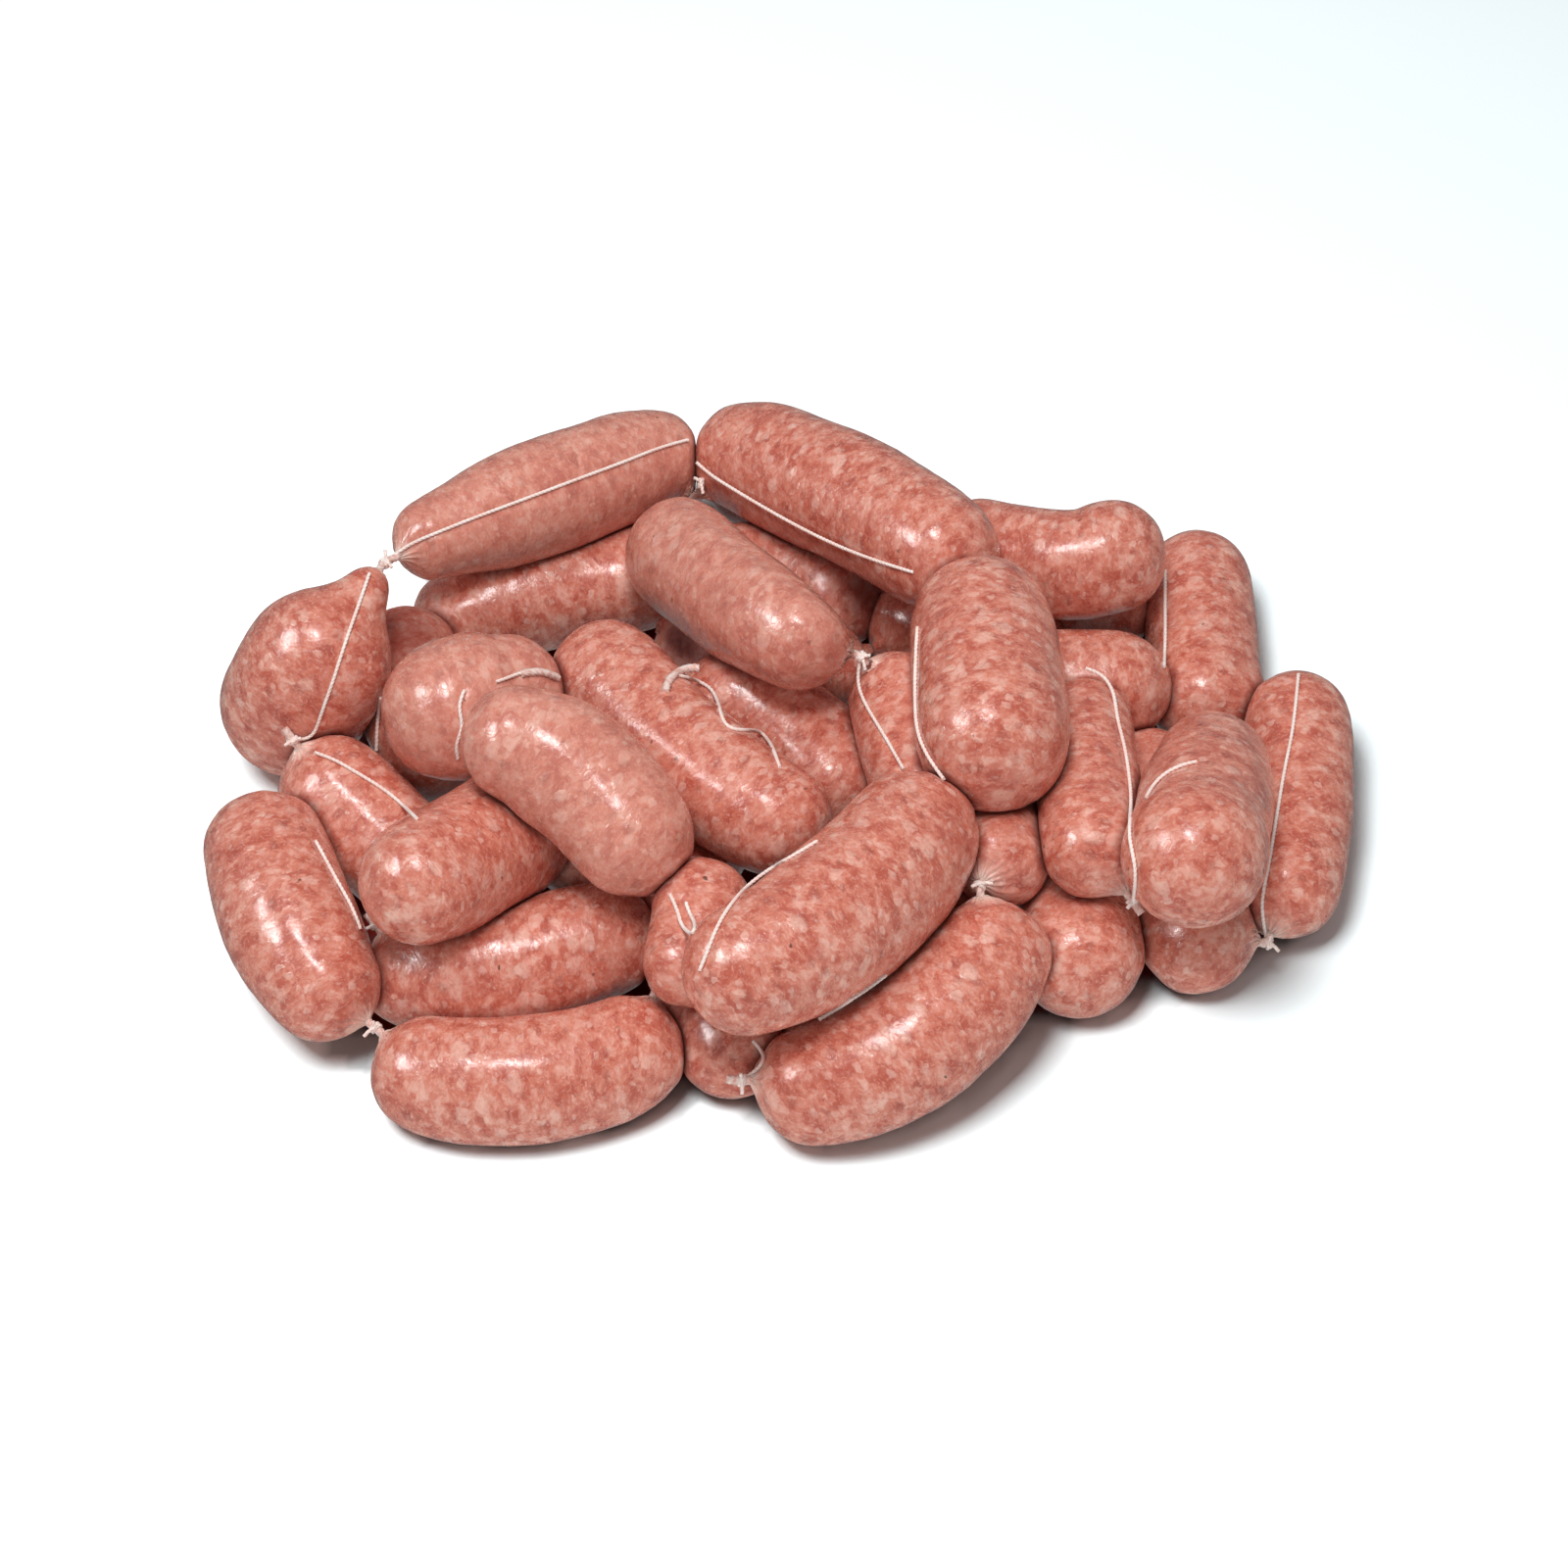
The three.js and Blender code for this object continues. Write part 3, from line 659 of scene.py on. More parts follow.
fine_wave = (turn * given.part("Pleats") * 2.0 + crumbs * FINE_PLEAT_WANDER).maths("SINE")
pleats = (wave * 0.7 + fine_wave * 0.3) * fade * b.step(from_tie, 0.0, CLOSED_TIP)
height = (lumps - 0.5) * given.part("Lump Height") + (crumbs - 0.5) * given.part("Crumb Height")
height = height + pleats * given.part("Pleat Depth")
normal = b.add("GeometryNodeInputNormal")
offset = b.vector("SCALE", {0: normal, "Scale": height})
moved = b.add("GeometryNodeSetPosition", {}, {"Geometry": given, "Offset": offset})
tied = b.add("GeometryNodeStoreNamedAttribute", {"data_type": "FLOAT", "domain": "POINT"}, {
    "Geometry": moved, "Name": "tied", "Value": fade ** 3.0,
})
batch_note = b.add("GeometryNodeStoreNamedAttribute", {"data_type": "FLOAT_VECTOR", "domain": "POINT"}, {
    "Geometry": tied, "Name": "batch", "Value": b.add("ShaderNodeCombineXYZ", {}, {
        i: given.part("Batch") * way for i, way in enumerate(BATCH_WAYS)
    }),
})
finish_tree(b, batch_note, given.part("Finish"))
print("casing tree", len(casing_tree.nodes), "nodes")

# %% [markdown]
# A tree is run once on a plain mesh, and the result is kept as a plain mesh too, because the finished
# piece should carry no modifier. Its inputs are set by each socket's identifier before that first run.

# %% Run a tree on a mesh


def grow(name, mesh, tree, values):
    piece = bpy.data.objects.new(name, mesh)
    bpy.context.scene.collection.objects.link(piece)
    modifier = piece.modifiers.new(tree.name, "NODES")
    modifier.node_group = tree
    for item in tree.interface.items_tree:
        if item.in_out == "INPUT" and item.name in values:
            modifier[item.identifier] = values[item.name]
    graph = bpy.context.evaluated_depsgraph_get()
    made = bpy.data.meshes.new_from_object(piece.evaluated_get(graph), depsgraph=graph)
    piece.modifiers.clear()
    piece.data = made
    made.name = name
    return piece


def triangles(piece):
    return sum(len(face.vertices) - 2 for face in piece.data.polygons)


print("ready to run", casing_tree.name)

# %% [markdown]
# Now every link gets its skin. Links out of sight get a coarser mesh. Four links in the photograph are
# paler than the rest, with more milk in the casing, so they take the pale finish.

# %% Grow the skins
RELIEF = {
    "Lump Height": 0.9 * MM, "Lump Size": 18 * MM, "Crumb Height": 0.3 * MM, "Crumb Size": 4 * MM,
    "Pleat Depth": 0.35 * MM, "Pleats": 14.0, "Pleat Reach": 14 * MM,
}
PALE_LINKS = {"link_crown_left", "link_left_top", "link_left_hollow", "link_back_left"}
spots = random.Random(7)
skins = {}
total = 0
for name in link_nodes:
    along, around = HIDDEN_GRID if name.startswith("link_under_") else SEEN_GRID
    reach = [(name, end) in tied_ends for end in (0, 1)]
    mesh = skin_mesh(name, along, around, reach)
    pale = name in PALE_LINKS
    piece = grow(mesh.name, mesh, casing_tree, {
        **RELIEF, "Batch": spots.uniform(1, 9), "Finish": pale_meat if pale else meat,
    })
    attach(piece, "root")
    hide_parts(name)
    skins[name] = piece
    total += triangles(piece)
    print(name, "tied ends", sum(reach), "triangles", triangles(piece))
print("skins", total, "triangles")

# %% [markdown]
# The next steps move the skins' points, so they need to know where each skin is now: its points, the way
# each point faces, its box, and a tree that finds the nearest place on it. One link is slimmer on its
# upper right in the photograph than in the CAD model, so that side is drawn in first, less and less with
# the distance from its knot, where it has to stay under the link above it.

# %% Take stock, and draw one link in
SLIM_LINK = "link_crown_left"
SLIM_WAY = np.array(Vector((0.65, 0, 0)) + picture_up * 0.76)
SLIM_DEPTH = 4.5 * MM
SLIM_STOPS, SLIM_FADES = 85 * MM, 35 * MM
trees, boxes, places, outs = {}, {}, {}, {}


def read_values(items, key, count):
    values = np.empty(count * 3, np.float32)
    items.foreach_get(key, values)
    return values.reshape(-1, 3).astype(float)


def take_stock(name):
    mesh = skins[name].data
    mesh.calc_loop_triangles()
    places[name] = read_values(mesh.vertices, "co", len(mesh.vertices))
    outs[name] = read_values(mesh.vertex_normals, "vector", len(mesh.vertices))
    boxes[name] = places[name].min(axis=0), places[name].max(axis=0)
    trees[name] = BVHTree.FromPolygons(places[name].tolist(), [t.vertices for t in mesh.loop_triangles])


slimmed = skins[SLIM_LINK].data
take_stock(SLIM_LINK)
from_knot = np.linalg.norm(places[SLIM_LINK] - np.array(knots["crown"]), axis=1)
share = np.clip((SLIM_STOPS - from_knot) / SLIM_FADES, 0, 1)
drawn_in = np.clip(outs[SLIM_LINK] @ SLIM_WAY, 0, 1) ** 2 * share * SLIM_DEPTH
slimmed.vertices.foreach_set("co", (places[SLIM_LINK] - drawn_in[:, None] * SLIM_WAY).ravel())
slimmed.update()
for name in skins:
    take_stock(name)
print("drawn in by up to", round(drawn_in.max() / MM, 1), "mm")

# %% [markdown]
# The solids only touch at points, but a soft link leans on its neighbour and the two skins flatten
# against each other. So each skin point first looks for the nearest neighbour: how wide the gap is, and
# how squarely the two skins face each other.

# %% Measure the gaps between the skins
GAP_REACH = 6.5 * MM


def gaps_to_neighbours(name):
    gap = np.full(len(places[name]), GAP_REACH)
    facing = np.zeros(len(places[name]))
    for other, tree in trees.items():
        low, high = boxes[other]
        inside = ((places[name] > low - GAP_REACH) & (places[name] < high + GAP_REACH)).all(axis=1)
        if other == name or not inside.any():
            continue
        for i in np.nonzero(inside)[0]:
            point, out = Vector(places[name][i]), Vector(outs[name][i])
            hit, normal, _, far = tree.find_nearest(point, GAP_REACH)
            if hit is None:
                continue
            signed = far if (point - hit).dot(normal) > 0 else -far
            if signed < gap[i]:
                gap[i] = signed
                facing[i] = max(0, -out.dot(normal))
    return gap, facing


gap_notes = {name: gaps_to_neighbours(name) for name in skins}
print("skin points that lean on a neighbour", sum(int((gap < MM).sum()) for gap, _ in gap_notes.values()))

# %% [markdown]
# Then it moves half way into a narrow gap, or half way back out of an overlap, and the two skins meet in
# the middle. A link out of sight comes nearly all the way up to the ones that lie on it. What is left of
# the gap is kept as a note, and shade is painted into the colour there. Nothing sinks into the table.

# %% Settle the skins against each other
GAP_CLOSED = 3.6 * MM
DEEPEST_OVERLAP = 2 * MM
SEEN_LEAN = 0.5, GAP_CLOSED
BURIED_LEAN = 0.9, 2 * GAP_CLOSED
for name, (gap, facing) in gap_notes.items():
    share, reach = BURIED_LEAN if name.startswith("link_under_") else SEEN_LEAN
    fade = np.exp(-((np.maximum(gap, 0) / reach) ** 2))
    lean = np.clip(gap, -DEEPEST_OVERLAP, None) * share * fade * facing
    moved = places[name] + outs[name] * lean[:, None]
    moved[:, 2] = np.maximum(moved[:, 2], 0)
    mesh = skins[name].data
    mesh.vertices.foreach_set("co", moved.ravel())
    mesh.update()
    # note of painted shade: the narrower the gap to a neighbour, the darker the colour
    note = mesh.attributes.new("deep", "FLOAT", "POINT")
    note.data.foreach_set("value", np.clip(1 - gap / GAP_REACH, 0, 1).astype(np.float32))
for name in skins:
    take_stock(name)
print("settled", len(places), "skins")

# %% [markdown]
# ## The twine
# Butcher's twine is three cotton plies laid round each other. It runs over a link from one tie to the
# next and bites a little into the soft skin. A tree sweeps a three-lobed section along a line and turns
# it as it goes, which gives the lay of the plies.

# %% Geometry Nodes tree for a laid cord
PROFILE_POINTS = 18
laid_tree, b, given = new_tree("laid cord", {
    "Radius": "NodeSocketFloat", "Plies": "NodeSocketFloat", "Groove": "NodeSocketFloat",
    "Lay": "NodeSocketFloat", "Step": "NodeSocketFloat", "Finish": "NodeSocketMaterial",
})
line = b.add("GeometryNodeMeshToCurve", {}, {0: given})
line = b.add("GeometryNodeResampleCurve", {"mode": "LENGTH"}, {"Curve": line, "Length": given.part("Step")})
length = b.add("GeometryNodeSplineParameter", out="Length")
line = b.add("GeometryNodeSetCurveTilt", {}, {0: line, "Tilt": length / given.part("Lay") * (2 * math.pi)})
line = b.add("GeometryNodeSetCurveRadius", {}, {0: line, "Radius": named(b, "girth")})
circle = {"Resolution": PROFILE_POINTS, "Radius": 1.0}
profile = b.add("GeometryNodeCurvePrimitiveCircle", {"mode": "RADIUS"}, circle)
index = b.add("GeometryNodeInputIndex")
ply = (index * (math.pi / PROFILE_POINTS) * given.part("Plies")).maths("COSINE").maths("ABSOLUTE")
size = given.part("Radius") * (1.0 - given.part("Groove") * (1.0 - ply))
on_circle = b.add("GeometryNodeInputPosition")
place = b.vector("SCALE", {0: on_circle, "Scale": size})
profile = b.add("GeometryNodeSetPosition", {}, {"Geometry": profile, "Position": place})
swept = b.add("GeometryNodeCurveToMesh", {}, {"Curve": line, "Profile Curve": profile, "Fill Caps": True})
finish_tree(b, swept, given.part("Finish"))
print("laid cord tree", len(laid_tree.nodes), "nodes")

# %% [markdown]
# The twine's route is read from the photograph. A line of sight through each place meets the skin, and
# the twine lies there. Between two links it would dip into the crease, but real twine is taut, so a
# place that lies deeper than the straight way past it is pulled up towards the viewer, a little in each
# of a few rounds.

# %% Lay a route on the skins
TWINE_RADIUS = 0.58 * MM
PRESSED = 0.5 * MM
NO_HIT = 9.0
LANDING_ROUNDS = 6
TAUT_ROUNDS = 8
ROUTE_STEP = 3


def pixel_of(point):
    away = point - eye
    depth = -away.dot(to_viewer) / FOCAL_PIXELS
    return PICTURE_SIZE / 2 + away.x / depth, PICTURE_SIZE / 2 - away.dot(picture_up) / depth


def depth_on(link, pixel):
    ray = sight(pixel)
    reach = min((tree.ray_cast(eye, ray)[3] or NO_HIT) for tree in trees.values())
    point = eye + ray
    for _ in range(LANDING_ROUNDS):
        point = eye + ray * (trees[link].find_nearest(point)[0] - eye).dot(ray)
    return min(reach, (point - eye).length)


def pull_taut(depths, fixed):
    taut = depths.copy()
    for _ in range(TAUT_ROUNDS):
        eased = taut.copy()
        eased[1:-1] = (taut[:-2] + 2 * taut[1:-1] + taut[2:]) / 4
        taut = np.where(fixed, depths, np.minimum(eased, depths))
    return taut


def lay_route(link, route, start=None, stop=None):
    marks = ([pixel_of(start)] if start else []) + list(route) + ([pixel_of(stop)] if stop else [])
    marks = np.array(marks, float)
    along = np.concatenate([[0], np.cumsum(np.linalg.norm(np.diff(marks, axis=0), axis=1))])
    wanted = np.linspace(0, along[-1], max(3, round(along[-1] / ROUTE_STEP)))
    pixels = spline_through(along, marks, wanted)
    depths = np.array([depth_on(link, pixel) for pixel in pixels])
    fixed = np.zeros(len(pixels), bool)
    for knot, end in ((start, 0), (stop, -1)):
        if knot:
            depths[end], fixed[end] = (knot - eye).length, True
    depths = pull_taut(depths, fixed) + PRESSED - TWINE_RADIUS
    return [eye + sight(pixel) * depth for pixel, depth in zip(pixels, depths)]


def smooth_path(points, step):
    knots = np.concatenate([[0], np.cumsum([(b - a).length for a, b in zip(points, points[1:])])])
    wanted = np.linspace(0, knots[-1], max(3, round(knots[-1] / step)))
    return [Vector(p) for p in spline_through(knots, np.array([tuple(p) for p in points]), wanted)]


def lines_mesh(name, lines):
    points, edges, girth = [], [], []
    for line, widths in lines:
        first = len(points)
        points += [tuple(p) for p in line]
        edges += [(first + i, first + i + 1) for i in range(len(line) - 1)]
        girth += widths
    mesh = bpy.data.meshes.new(name)
    mesh.from_pydata(points, edges, [])
    note = mesh.attributes.new("girth", "FLOAT", "POINT")
    note.data.foreach_set("value", girth)
    return mesh


print("a route is laid in steps of", ROUTE_STEP, "pixels")

# %% [markdown]
# Each run below is named for its link, with the knot that it starts from and the knot that it ends at, and
# then the places, in pixels of the photograph, that it passes. Some runs are thinner, and two links show a
# second, thinner strand.

# %% Twine routes
TWINES = {
    "back_left": ("left_back", "", [(418, 556), (440, 546), (480, 530), (520, 515), (560, 500), (600, 485),
                                    (640, 470), (680, 455), (702, 449)]),
    "back_middle": ("", "", [(711, 472), (725, 484), (740, 494), (780, 518), (820, 540), (860, 559),
                             (900, 574), (932, 584)]),
    "right_back": ("", "", [(1189, 582), (1189, 615), (1189, 650), (1188, 680)]),
    "right_side": ("", "right", [(1325, 688), (1322, 720), (1318, 750), (1312, 780), (1305, 820),
                                 (1300, 850), (1293, 890), (1288, 920)]),
    "right_top": ("", "", [(1221, 777), (1203, 782), (1187, 791), (1178, 800), (1170, 813)]),
    "crown_right": ("", "", [(936, 640), (934, 680), (934, 720), (937, 748), (946, 770), (963, 795)]),
    "inner_middle": ("inner", "", [(712, 695), (725, 703), (735, 725), (742, 740), (760, 745), (775, 747),
                                   (785, 757), (793, 775), (796, 783)]),
    "left_hollow": ("", "", [(566, 691), (550, 686), (535, 686), (520, 691), (506, 696)]),
    "left_side": ("", "left", [(377, 585), (365, 620), (351, 660), (338, 700), (326, 734), (317, 751)]),
    "left_low": ("", "", [(322, 768), (340, 775), (360, 786), (380, 798), (400, 812), (425, 835)]),
    "left_under": ("", "", [(388, 712), (385, 740), (384, 766)]),
    "corner_left": ("", "", [(322, 858), (334, 880), (346, 902), (360, 928), (368, 948)]),
    "front_top": ("", "", [(834, 858), (811, 872), (784, 888), (759, 908), (743, 927), (731, 948),
                           (722, 970), (714, 990)]),
    "front_gap": ("", "", [(684, 913), (692, 932), (700, 949), (706, 952), (709, 945), (705, 934),
                           (700, 921)]),
    "right_inner": ("", "right_inner", [(1108, 682), (1125, 690), (1135, 705), (1140, 730), (1147, 760),
                                        (1152, 790), (1154, 820), (1153, 855), (1158, 885)]),
    "cross_gap": ("crown", "", [(876, 697), (890, 730), (905, 755), (922, 785)]),
    "notch": ("", "notch", [(768, 1062), (779, 1078)]),
}
LIES_ON = {"notch": "link_front_right"}
THIN_RUNS = {"right_top": 0.65, "front_gap": 0.75, "left_hollow": 0.8}
SECOND_GIRTH = 0.7
SECOND_RUNS = {
    "front_top": [[(836, 1040), (848, 1033), (870, 1019), (888, 1007), (904, 995)]],
    "left_hollow": [[(474, 704), (469, 722), (471, 742), (466, 760), (467, 774)]],
}


def twine_run(name):
    start, stop, route = TWINES[name]
    return lay_route(LIES_ON.get(name, "link_" + name), route, knots.get(start), knots.get(stop))


print("runs", len(TWINES), "second strands", sum(len(routes) for routes in SECOND_RUNS.values()))

# %% [markdown]
# A knot is two turns of twine pulled tight round the neck, a lump where the ends cross, and two short
# ends that stick out. The turns go round the neck, so the knot first needs to know which way the neck
# runs: from one tied tip to the other.

# %% The line of a neck
NECK_WIDTHS = [1.5, 1.0, 0.8, 1.0, 1.5]
CUT_WIDTHS = [1.5, 1.0, 0.8, 1.1, 1.8]
CUT_MIDDLE, CUT_END = 2.2 * MM, 4.2 * MM


def neck_line(name):
    knot = knots[name]
    ends = [tied_tip(link, knot)[1:] for link in NECK_LINKS[name]]
    if len(ends) == 1:
        tip, inside = ends[0]
        out = (knot - inside).normalized()
        return [inside, tip, knot, knot + out * CUT_MIDDLE, knot + out * CUT_END], CUT_WIDTHS
    (tip, inside), (far_tip, far_inside) = ends
    return [inside, tip, knot, far_tip, far_inside], NECK_WIDTHS


print("necks that join two links", sum(len(links) == 2 for links in NECK_LINKS.values()))

# %% The lines of a knot
CORD_STEP = 0.4 * MM
WRAP_STEPS, WRAPS = 40, 1.7
WRAP_RADIUS, WRAP_LENGTH = 1.35 * MM, 1.5 * MM
CROSSING_LOW, CROSSING_HIGH = 1.2 * MM, 1.9 * MM
SHORTEST_END, LONGEST_END = 2.4, 4.0
END_LIFT = 1.3 * MM
END_SAG = 0.25


def knot_lines(name):
    knot = knots[name]
    line, _ = neck_line(name)
    axis = (line[3] - line[1]).normalized()
    side = axis.cross(to_viewer).normalized()
    up = side.cross(axis).normalized()
    turns = []
    for i in range(WRAP_STEPS + 1):
        angle = i * 2 * math.pi * WRAPS / WRAP_STEPS
        out = side * math.cos(angle) + up * math.sin(angle)
        turns.append(knot + out * WRAP_RADIUS + axis * (i / WRAP_STEPS - 0.5) * WRAP_LENGTH)
    chance = random.Random(name)
    lines = [(turns, [1.0] * len(turns))]
    for way in (1, -1):
        lean = side * way * chance.uniform(0.4, 1.0) + up * 0.5 + axis * chance.uniform(-0.7, 0.7)
        lean.normalize()
        root = knot + up * END_LIFT
        far = chance.uniform(SHORTEST_END, LONGEST_END) * MM
        sag = Vector((0, 0, -1)) * far * END_SAG
        end = smooth_path([root, root + lean * far * 0.5, root + lean * far + sag], CORD_STEP)
        lines.append((end, [1.0] * len(end)))
    low, aside = knot + up * CROSSING_LOW, side * CROSSING_LOW
    crossing = smooth_path([low + aside, knot + up * CROSSING_HIGH, low - aside], CORD_STEP)
    lines.append((crossing, [1.1] * len(crossing)))
    return lines


print("lines in one knot", len(knot_lines("crown")))

# %% [markdown]
# A run of twine and the knots on its link are one piece, because they replace one solid.

# %% Grow the strings and knots
CORD = {
    "Radius": TWINE_RADIUS, "Plies": 3.0, "Groove": 0.28, "Lay": 4 * MM, "Step": 0.45 * MM,
    "Finish": cotton,
}
runs = {}
for node in twine_nodes + knot_nodes:
    name = node.split("_", 1)[1]
    lines = []
    if node in twine_nodes:
        runs[name] = twine_run(name)
        lines.append((runs[name], [THIN_RUNS.get(name, 1.0)] * len(runs[name])))
        for route in SECOND_RUNS.get(name, []):
            second = lay_route("link_" + name, route)
            runs[name + " again"] = second
            lines.append((second, [SECOND_GIRTH] * len(second)))
    for knot, (owner, _) in KNOTS.items():
        if owner == node:
            lines += knot_lines(knot)
    piece_name = node.replace("twine_", "string_").replace("tie_", "knot_")
    piece = grow(piece_name, lines_mesh(piece_name, lines), laid_tree, CORD)
    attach(piece, "root")
    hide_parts(node)
    print(piece_name, len(lines), "lines", triangles(piece), "triangles")

# %% [markdown]
# The casing at a neck is a thin rope of folds from link to link, so the same tree makes it, with more
# lobes and a longer lay. Two links also show crumpled casing away from a knot: a short rope along it.

# %% Grow the necks and folds
ROPE = {
    "Radius": 1.3 * MM, "Plies": 6.0, "Groove": 0.4, "Lay": 9 * MM, "Step": 0.35 * MM,
    "Finish": gathered,
}
FOLDS = {
    "hollow": ("link_left_hollow", [(569, 692), (556, 687), (544, 686), (532, 688)], [1.2, 1.7, 0.8]),
    "inner_fold": ("link_long_middle", [(679, 706), (683, 695), (691, 687), (703, 682), (717, 682)],
                   [0.9, 1.7, 1.4, 1.6, 0.9]),
}
neck_lines = {name: neck_line(name) for name in KNOTS}
for name, (link, route, widths) in FOLDS.items():
    neck_lines[name] = lay_route(link, route)[::3], widths
for name, (line, widths) in neck_lines.items():
    path = smooth_path(line, CORD_STEP)
    share = np.linspace(0, 1, len(path))
    widths = list(np.interp(share, np.linspace(0, 1, len(widths)), widths))
    piece = grow("neck_" + name, lines_mesh("neck_" + name, [(path, widths)]), laid_tree, ROPE)
    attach(piece, "root")
print("necks", len(neck_lines))

# %% [markdown]
# The skin is soft, so the twine sinks into it. The groove follows from distance too: a skin point near the
# twine moves in, and less so the further it is from it. The groove also gets a little painted shade.

# %% Press the twine in
GROOVE_WIDTH = 1.6 * MM
GROOVE_SEARCH = 4 * MM
GROOVE_SHADE = 0.4
twine_points = np.array([tuple(p) for run in runs.values() for p in run])


def nearest_twine(points):
    low, high = points.min(axis=0) - GROOVE_SEARCH, points.max(axis=0) + GROOVE_SEARCH
    close = twine_points[((twine_points > low) & (twine_points < high)).all(axis=1)]
    if not len(close):
        return np.ones(len(points))
    squares = (points**2).sum(axis=1)[:, None] + (close**2).sum(axis=1)[None] - 2 * points @ close.T
    return np.sqrt(np.maximum(squares.min(axis=1), 0))


def deepen(name, darkness):
    note = skins[name].data.attributes["deep"].data
    deep = np.empty(len(darkness), np.float32)
    note.foreach_get("value", deep)
    note.foreach_set("value", np.maximum(deep, darkness).astype(np.float32))


for name, piece in skins.items():
    groove = np.exp(-((nearest_twine(places[name]) / GROOVE_WIDTH) ** 2))
    pressed = places[name] - outs[name] * groove[:, None] * PRESSED
    pressed[:, 2] = np.maximum(pressed[:, 2], 0)
    piece.data.vertices.foreach_set("co", pressed.ravel())
    # painted shade along the twine's groove
    deepen(name, groove * GROOVE_SHADE)
    piece.data.update()
print("skins pressed under", len(twine_points), "points of twine")

# %% [markdown]
# Three places in the photograph are darker than any crease: links far down, seen through a gap, where no
# lamp reaches. The link first met on that line of sight gets dark painted shade there.

# %% Darken the places no lamp reaches
UNLIT = [((406, 642), 24 * MM), ((890, 606), 20 * MM), ((694, 653), 12 * MM)]
UNLIT_SHADE = 0.85
for pixel, size in UNLIT:
    ray = sight(pixel)
    far, name = min((tree.ray_cast(eye, ray)[3] or NO_HIT, name) for name, tree in trees.items())
    if far < NO_HIT:
        off_spot = np.linalg.norm(places[name] - np.array(eye + ray * far), axis=1)
        # painted shade round the spot
        deepen(name, np.exp(-((off_spot / size) ** 2)) * UNLIT_SHADE)
    print("unlit", pixel, "on", name)

# %% [markdown]
# ## Floor and light
# The heap lies on plain white. Under it and close to it hardly any sky reaches the table, so shade is
# painted there. The table is a fine grid, and each of its points sends a few rays up, spread as soft
# daylight is. The share of them that meets a link is kept as a note, and the colour follows it: white, then
# a painted dark shade, then a painted dark red shade.

# %% Measure how much of the sky the heap covers
FLOOR_STEP = 5 * MM
FLOOR_MARGIN = 60 * MM
FLOOR_HALF = 3.0
SKY_RAYS = 16
SKY_REACH = 0.15
RAY_LIFT = 0.2 * MM
GOLDEN_TURN = math.pi * (3 - math.sqrt(5))


def floor_lines(axis):
    low = min(p[:, axis].min() for p in places.values()) - FLOOR_MARGIN
    high = max(p[:, axis].max() for p in places.values()) + FLOOR_MARGIN
    return [-FLOOR_HALF, *np.arange(low, high, FLOOR_STEP), FLOOR_HALF]


def covered(point, graph):
    if max(abs(point.x), abs(point.y)) >= FLOOR_HALF:
        return 0.0
    blocked = 0
    for i in range(SKY_RAYS):
        flat = math.sqrt((i + 0.5) / SKY_RAYS)
        turn = i * GOLDEN_TURN
        way = Vector((flat * math.cos(turn), flat * math.sin(turn), math.sqrt(1 - flat * flat)))
        start = point + way * RAY_LIFT
        blocked += bpy.context.scene.ray_cast(graph, start, way, distance=SKY_REACH)[0]
    return blocked / SKY_RAYS


floor_points = [Vector((x, y, 0)) for y in floor_lines(1) for x in floor_lines(0)]
graph = bpy.context.evaluated_depsgraph_get()
floor_cover = [covered(point, graph) for point in floor_points]
print("points of the table", len(floor_points), "under the heap", sum(cover > 0.5 for cover in floor_cover))

# %% Lay the table
WHITE = (0.83, 0.91, 0.93, 1)
# painted shade colour for the table under the heap
SHADED = (0.035, 0.045, 0.05, 1)
wide = len(floor_lines(0))
squares = [(i, i + 1, i + wide + 1, i + wide) for i in range(len(floor_points) - wide) if (i + 1) % wide]
floor_mesh = bpy.data.meshes.new("floor")
floor_mesh.from_pydata([tuple(p) for p in floor_points], [], squares)
floor_mesh.attributes.new("under", "FLOAT", "POINT").data.foreach_set("value", floor_cover)
floor = bpy.data.objects.new("floor", floor_mesh)
bpy.context.scene.collection.objects.link(floor)
floor_finish, b = new_finish("white table")
under = b.note("under")
# painted shade on the table under and beside the heap: dark grey, then dark red where it is deep under
colour = b.blend(b.step(under, 0.58, 0.94), WHITE, SHADED)
colour = b.blend(b.step(under, 0.8, 0.93), colour, PAINTED_SHADE_RED)
close_finish(b, {"Base Color": colour}, {"Roughness": 0.9, "Specular IOR Level": 0.1})
floor_mesh.materials.append(floor_finish)
floor.visible_glossy = False
print("table of", len(squares), "squares")

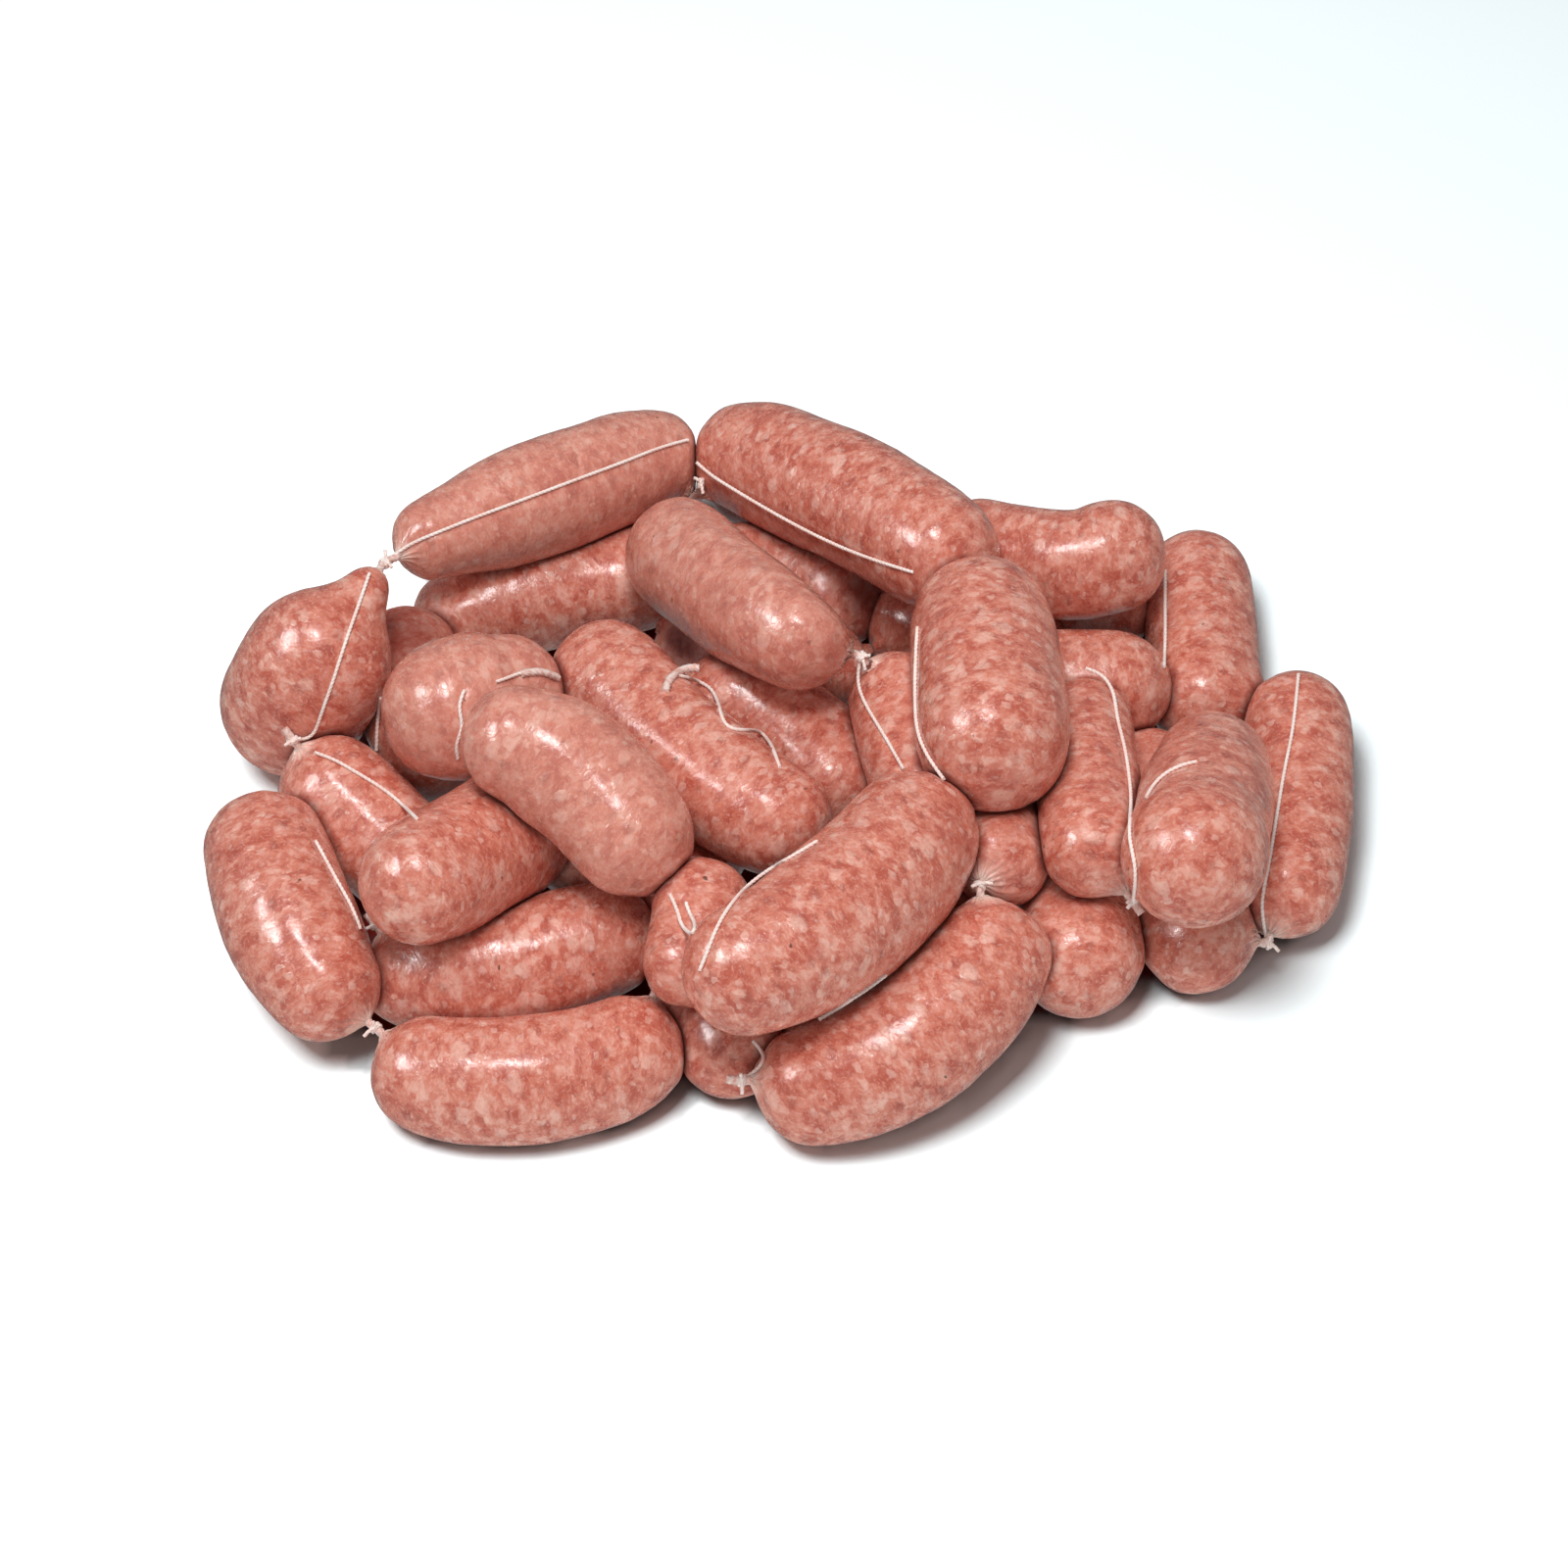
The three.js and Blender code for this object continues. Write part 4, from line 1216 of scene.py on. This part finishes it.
# %% [markdown]
# The photograph has an even white table and a heap with soft body and small sharp glints, which one lamp
# can't give. So three soft lamps, one overhead, one behind and one in front, light the heap but never
# show as a shine. Two small ones, from the left and from the top, show only as glints. A lamp of its own
# whitens the table and throws the short shadow to the right and front. A dim white room fills the
# hollows.

# %% Lamps
LAMP_DISTANCE = 1.25
SOFT_LAMPS = {
    "key": ((-0.04, -0.2, 0.95), (0.36, 0.36), 8.2),
    "back": ((-0.15, 0.3, 0.95), (0.5, 0.5), 4),
    "front": ((-0.1, -0.72, 0.65), (0.5, 0.4), 2.5),
}
GLINT_LAMPS = {
    "left glints": ((-0.72, -0.1, 0.66), (0.4, 0.34), 6.5),
    "top glints": ((-0.15, -0.12, 0.98), (0.34, 0.13), 5),
}
TABLE_LAMP = (-0.34, -0.36, 1.42), (0.5, 0.5), 31


def panel(name, place, size, watts):
    light = bpy.data.lights.new(name, "AREA")
    light.shape = "RECTANGLE"
    light.size, light.size_y = size
    light.energy = watts
    lamp = bpy.data.objects.new(name, light)
    bpy.context.scene.collection.objects.link(lamp)
    lamp.location = place
    lamp.rotation_mode = "QUATERNION"
    lamp.rotation_quaternion = (LOOKED_AT - Vector(place)).to_track_quat("-Z", "Y")
    return lamp


def table_alone(name):
    group = bpy.data.collections.new(name)
    group.objects.link(floor)
    return group


off_the_table = table_alone("not lit by the lamps of the heap")
off_the_table.collection_objects[0].light_linking.link_state = "EXCLUDE"
for lamps, unseen in ((SOFT_LAMPS, "visible_glossy"), (GLINT_LAMPS, "visible_diffuse")):
    for name, (way, size, watts) in lamps.items():
        lamp = panel(name, LOOKED_AT + Vector(way).normalized() * LAMP_DISTANCE, size, watts)
        setattr(lamp, unseen, False)
        lamp.light_linking.receiver_collection = off_the_table
panel("table", *TABLE_LAMP).light_linking.receiver_collection = table_alone("lit by the table lamp")

# %% The white room
ROOM_LIGHT = 0.21
world = bpy.data.worlds.new("white room")
world.use_nodes = True
room = world.node_tree.nodes["Background"].inputs
room["Color"].default_value = (1, 1, 1, 1)
room["Strength"].default_value = ROOM_LIGHT
bpy.context.scene.world = world
bpy.context.scene.view_settings.view_transform = "Standard"
print("room light", ROOM_LIGHT)
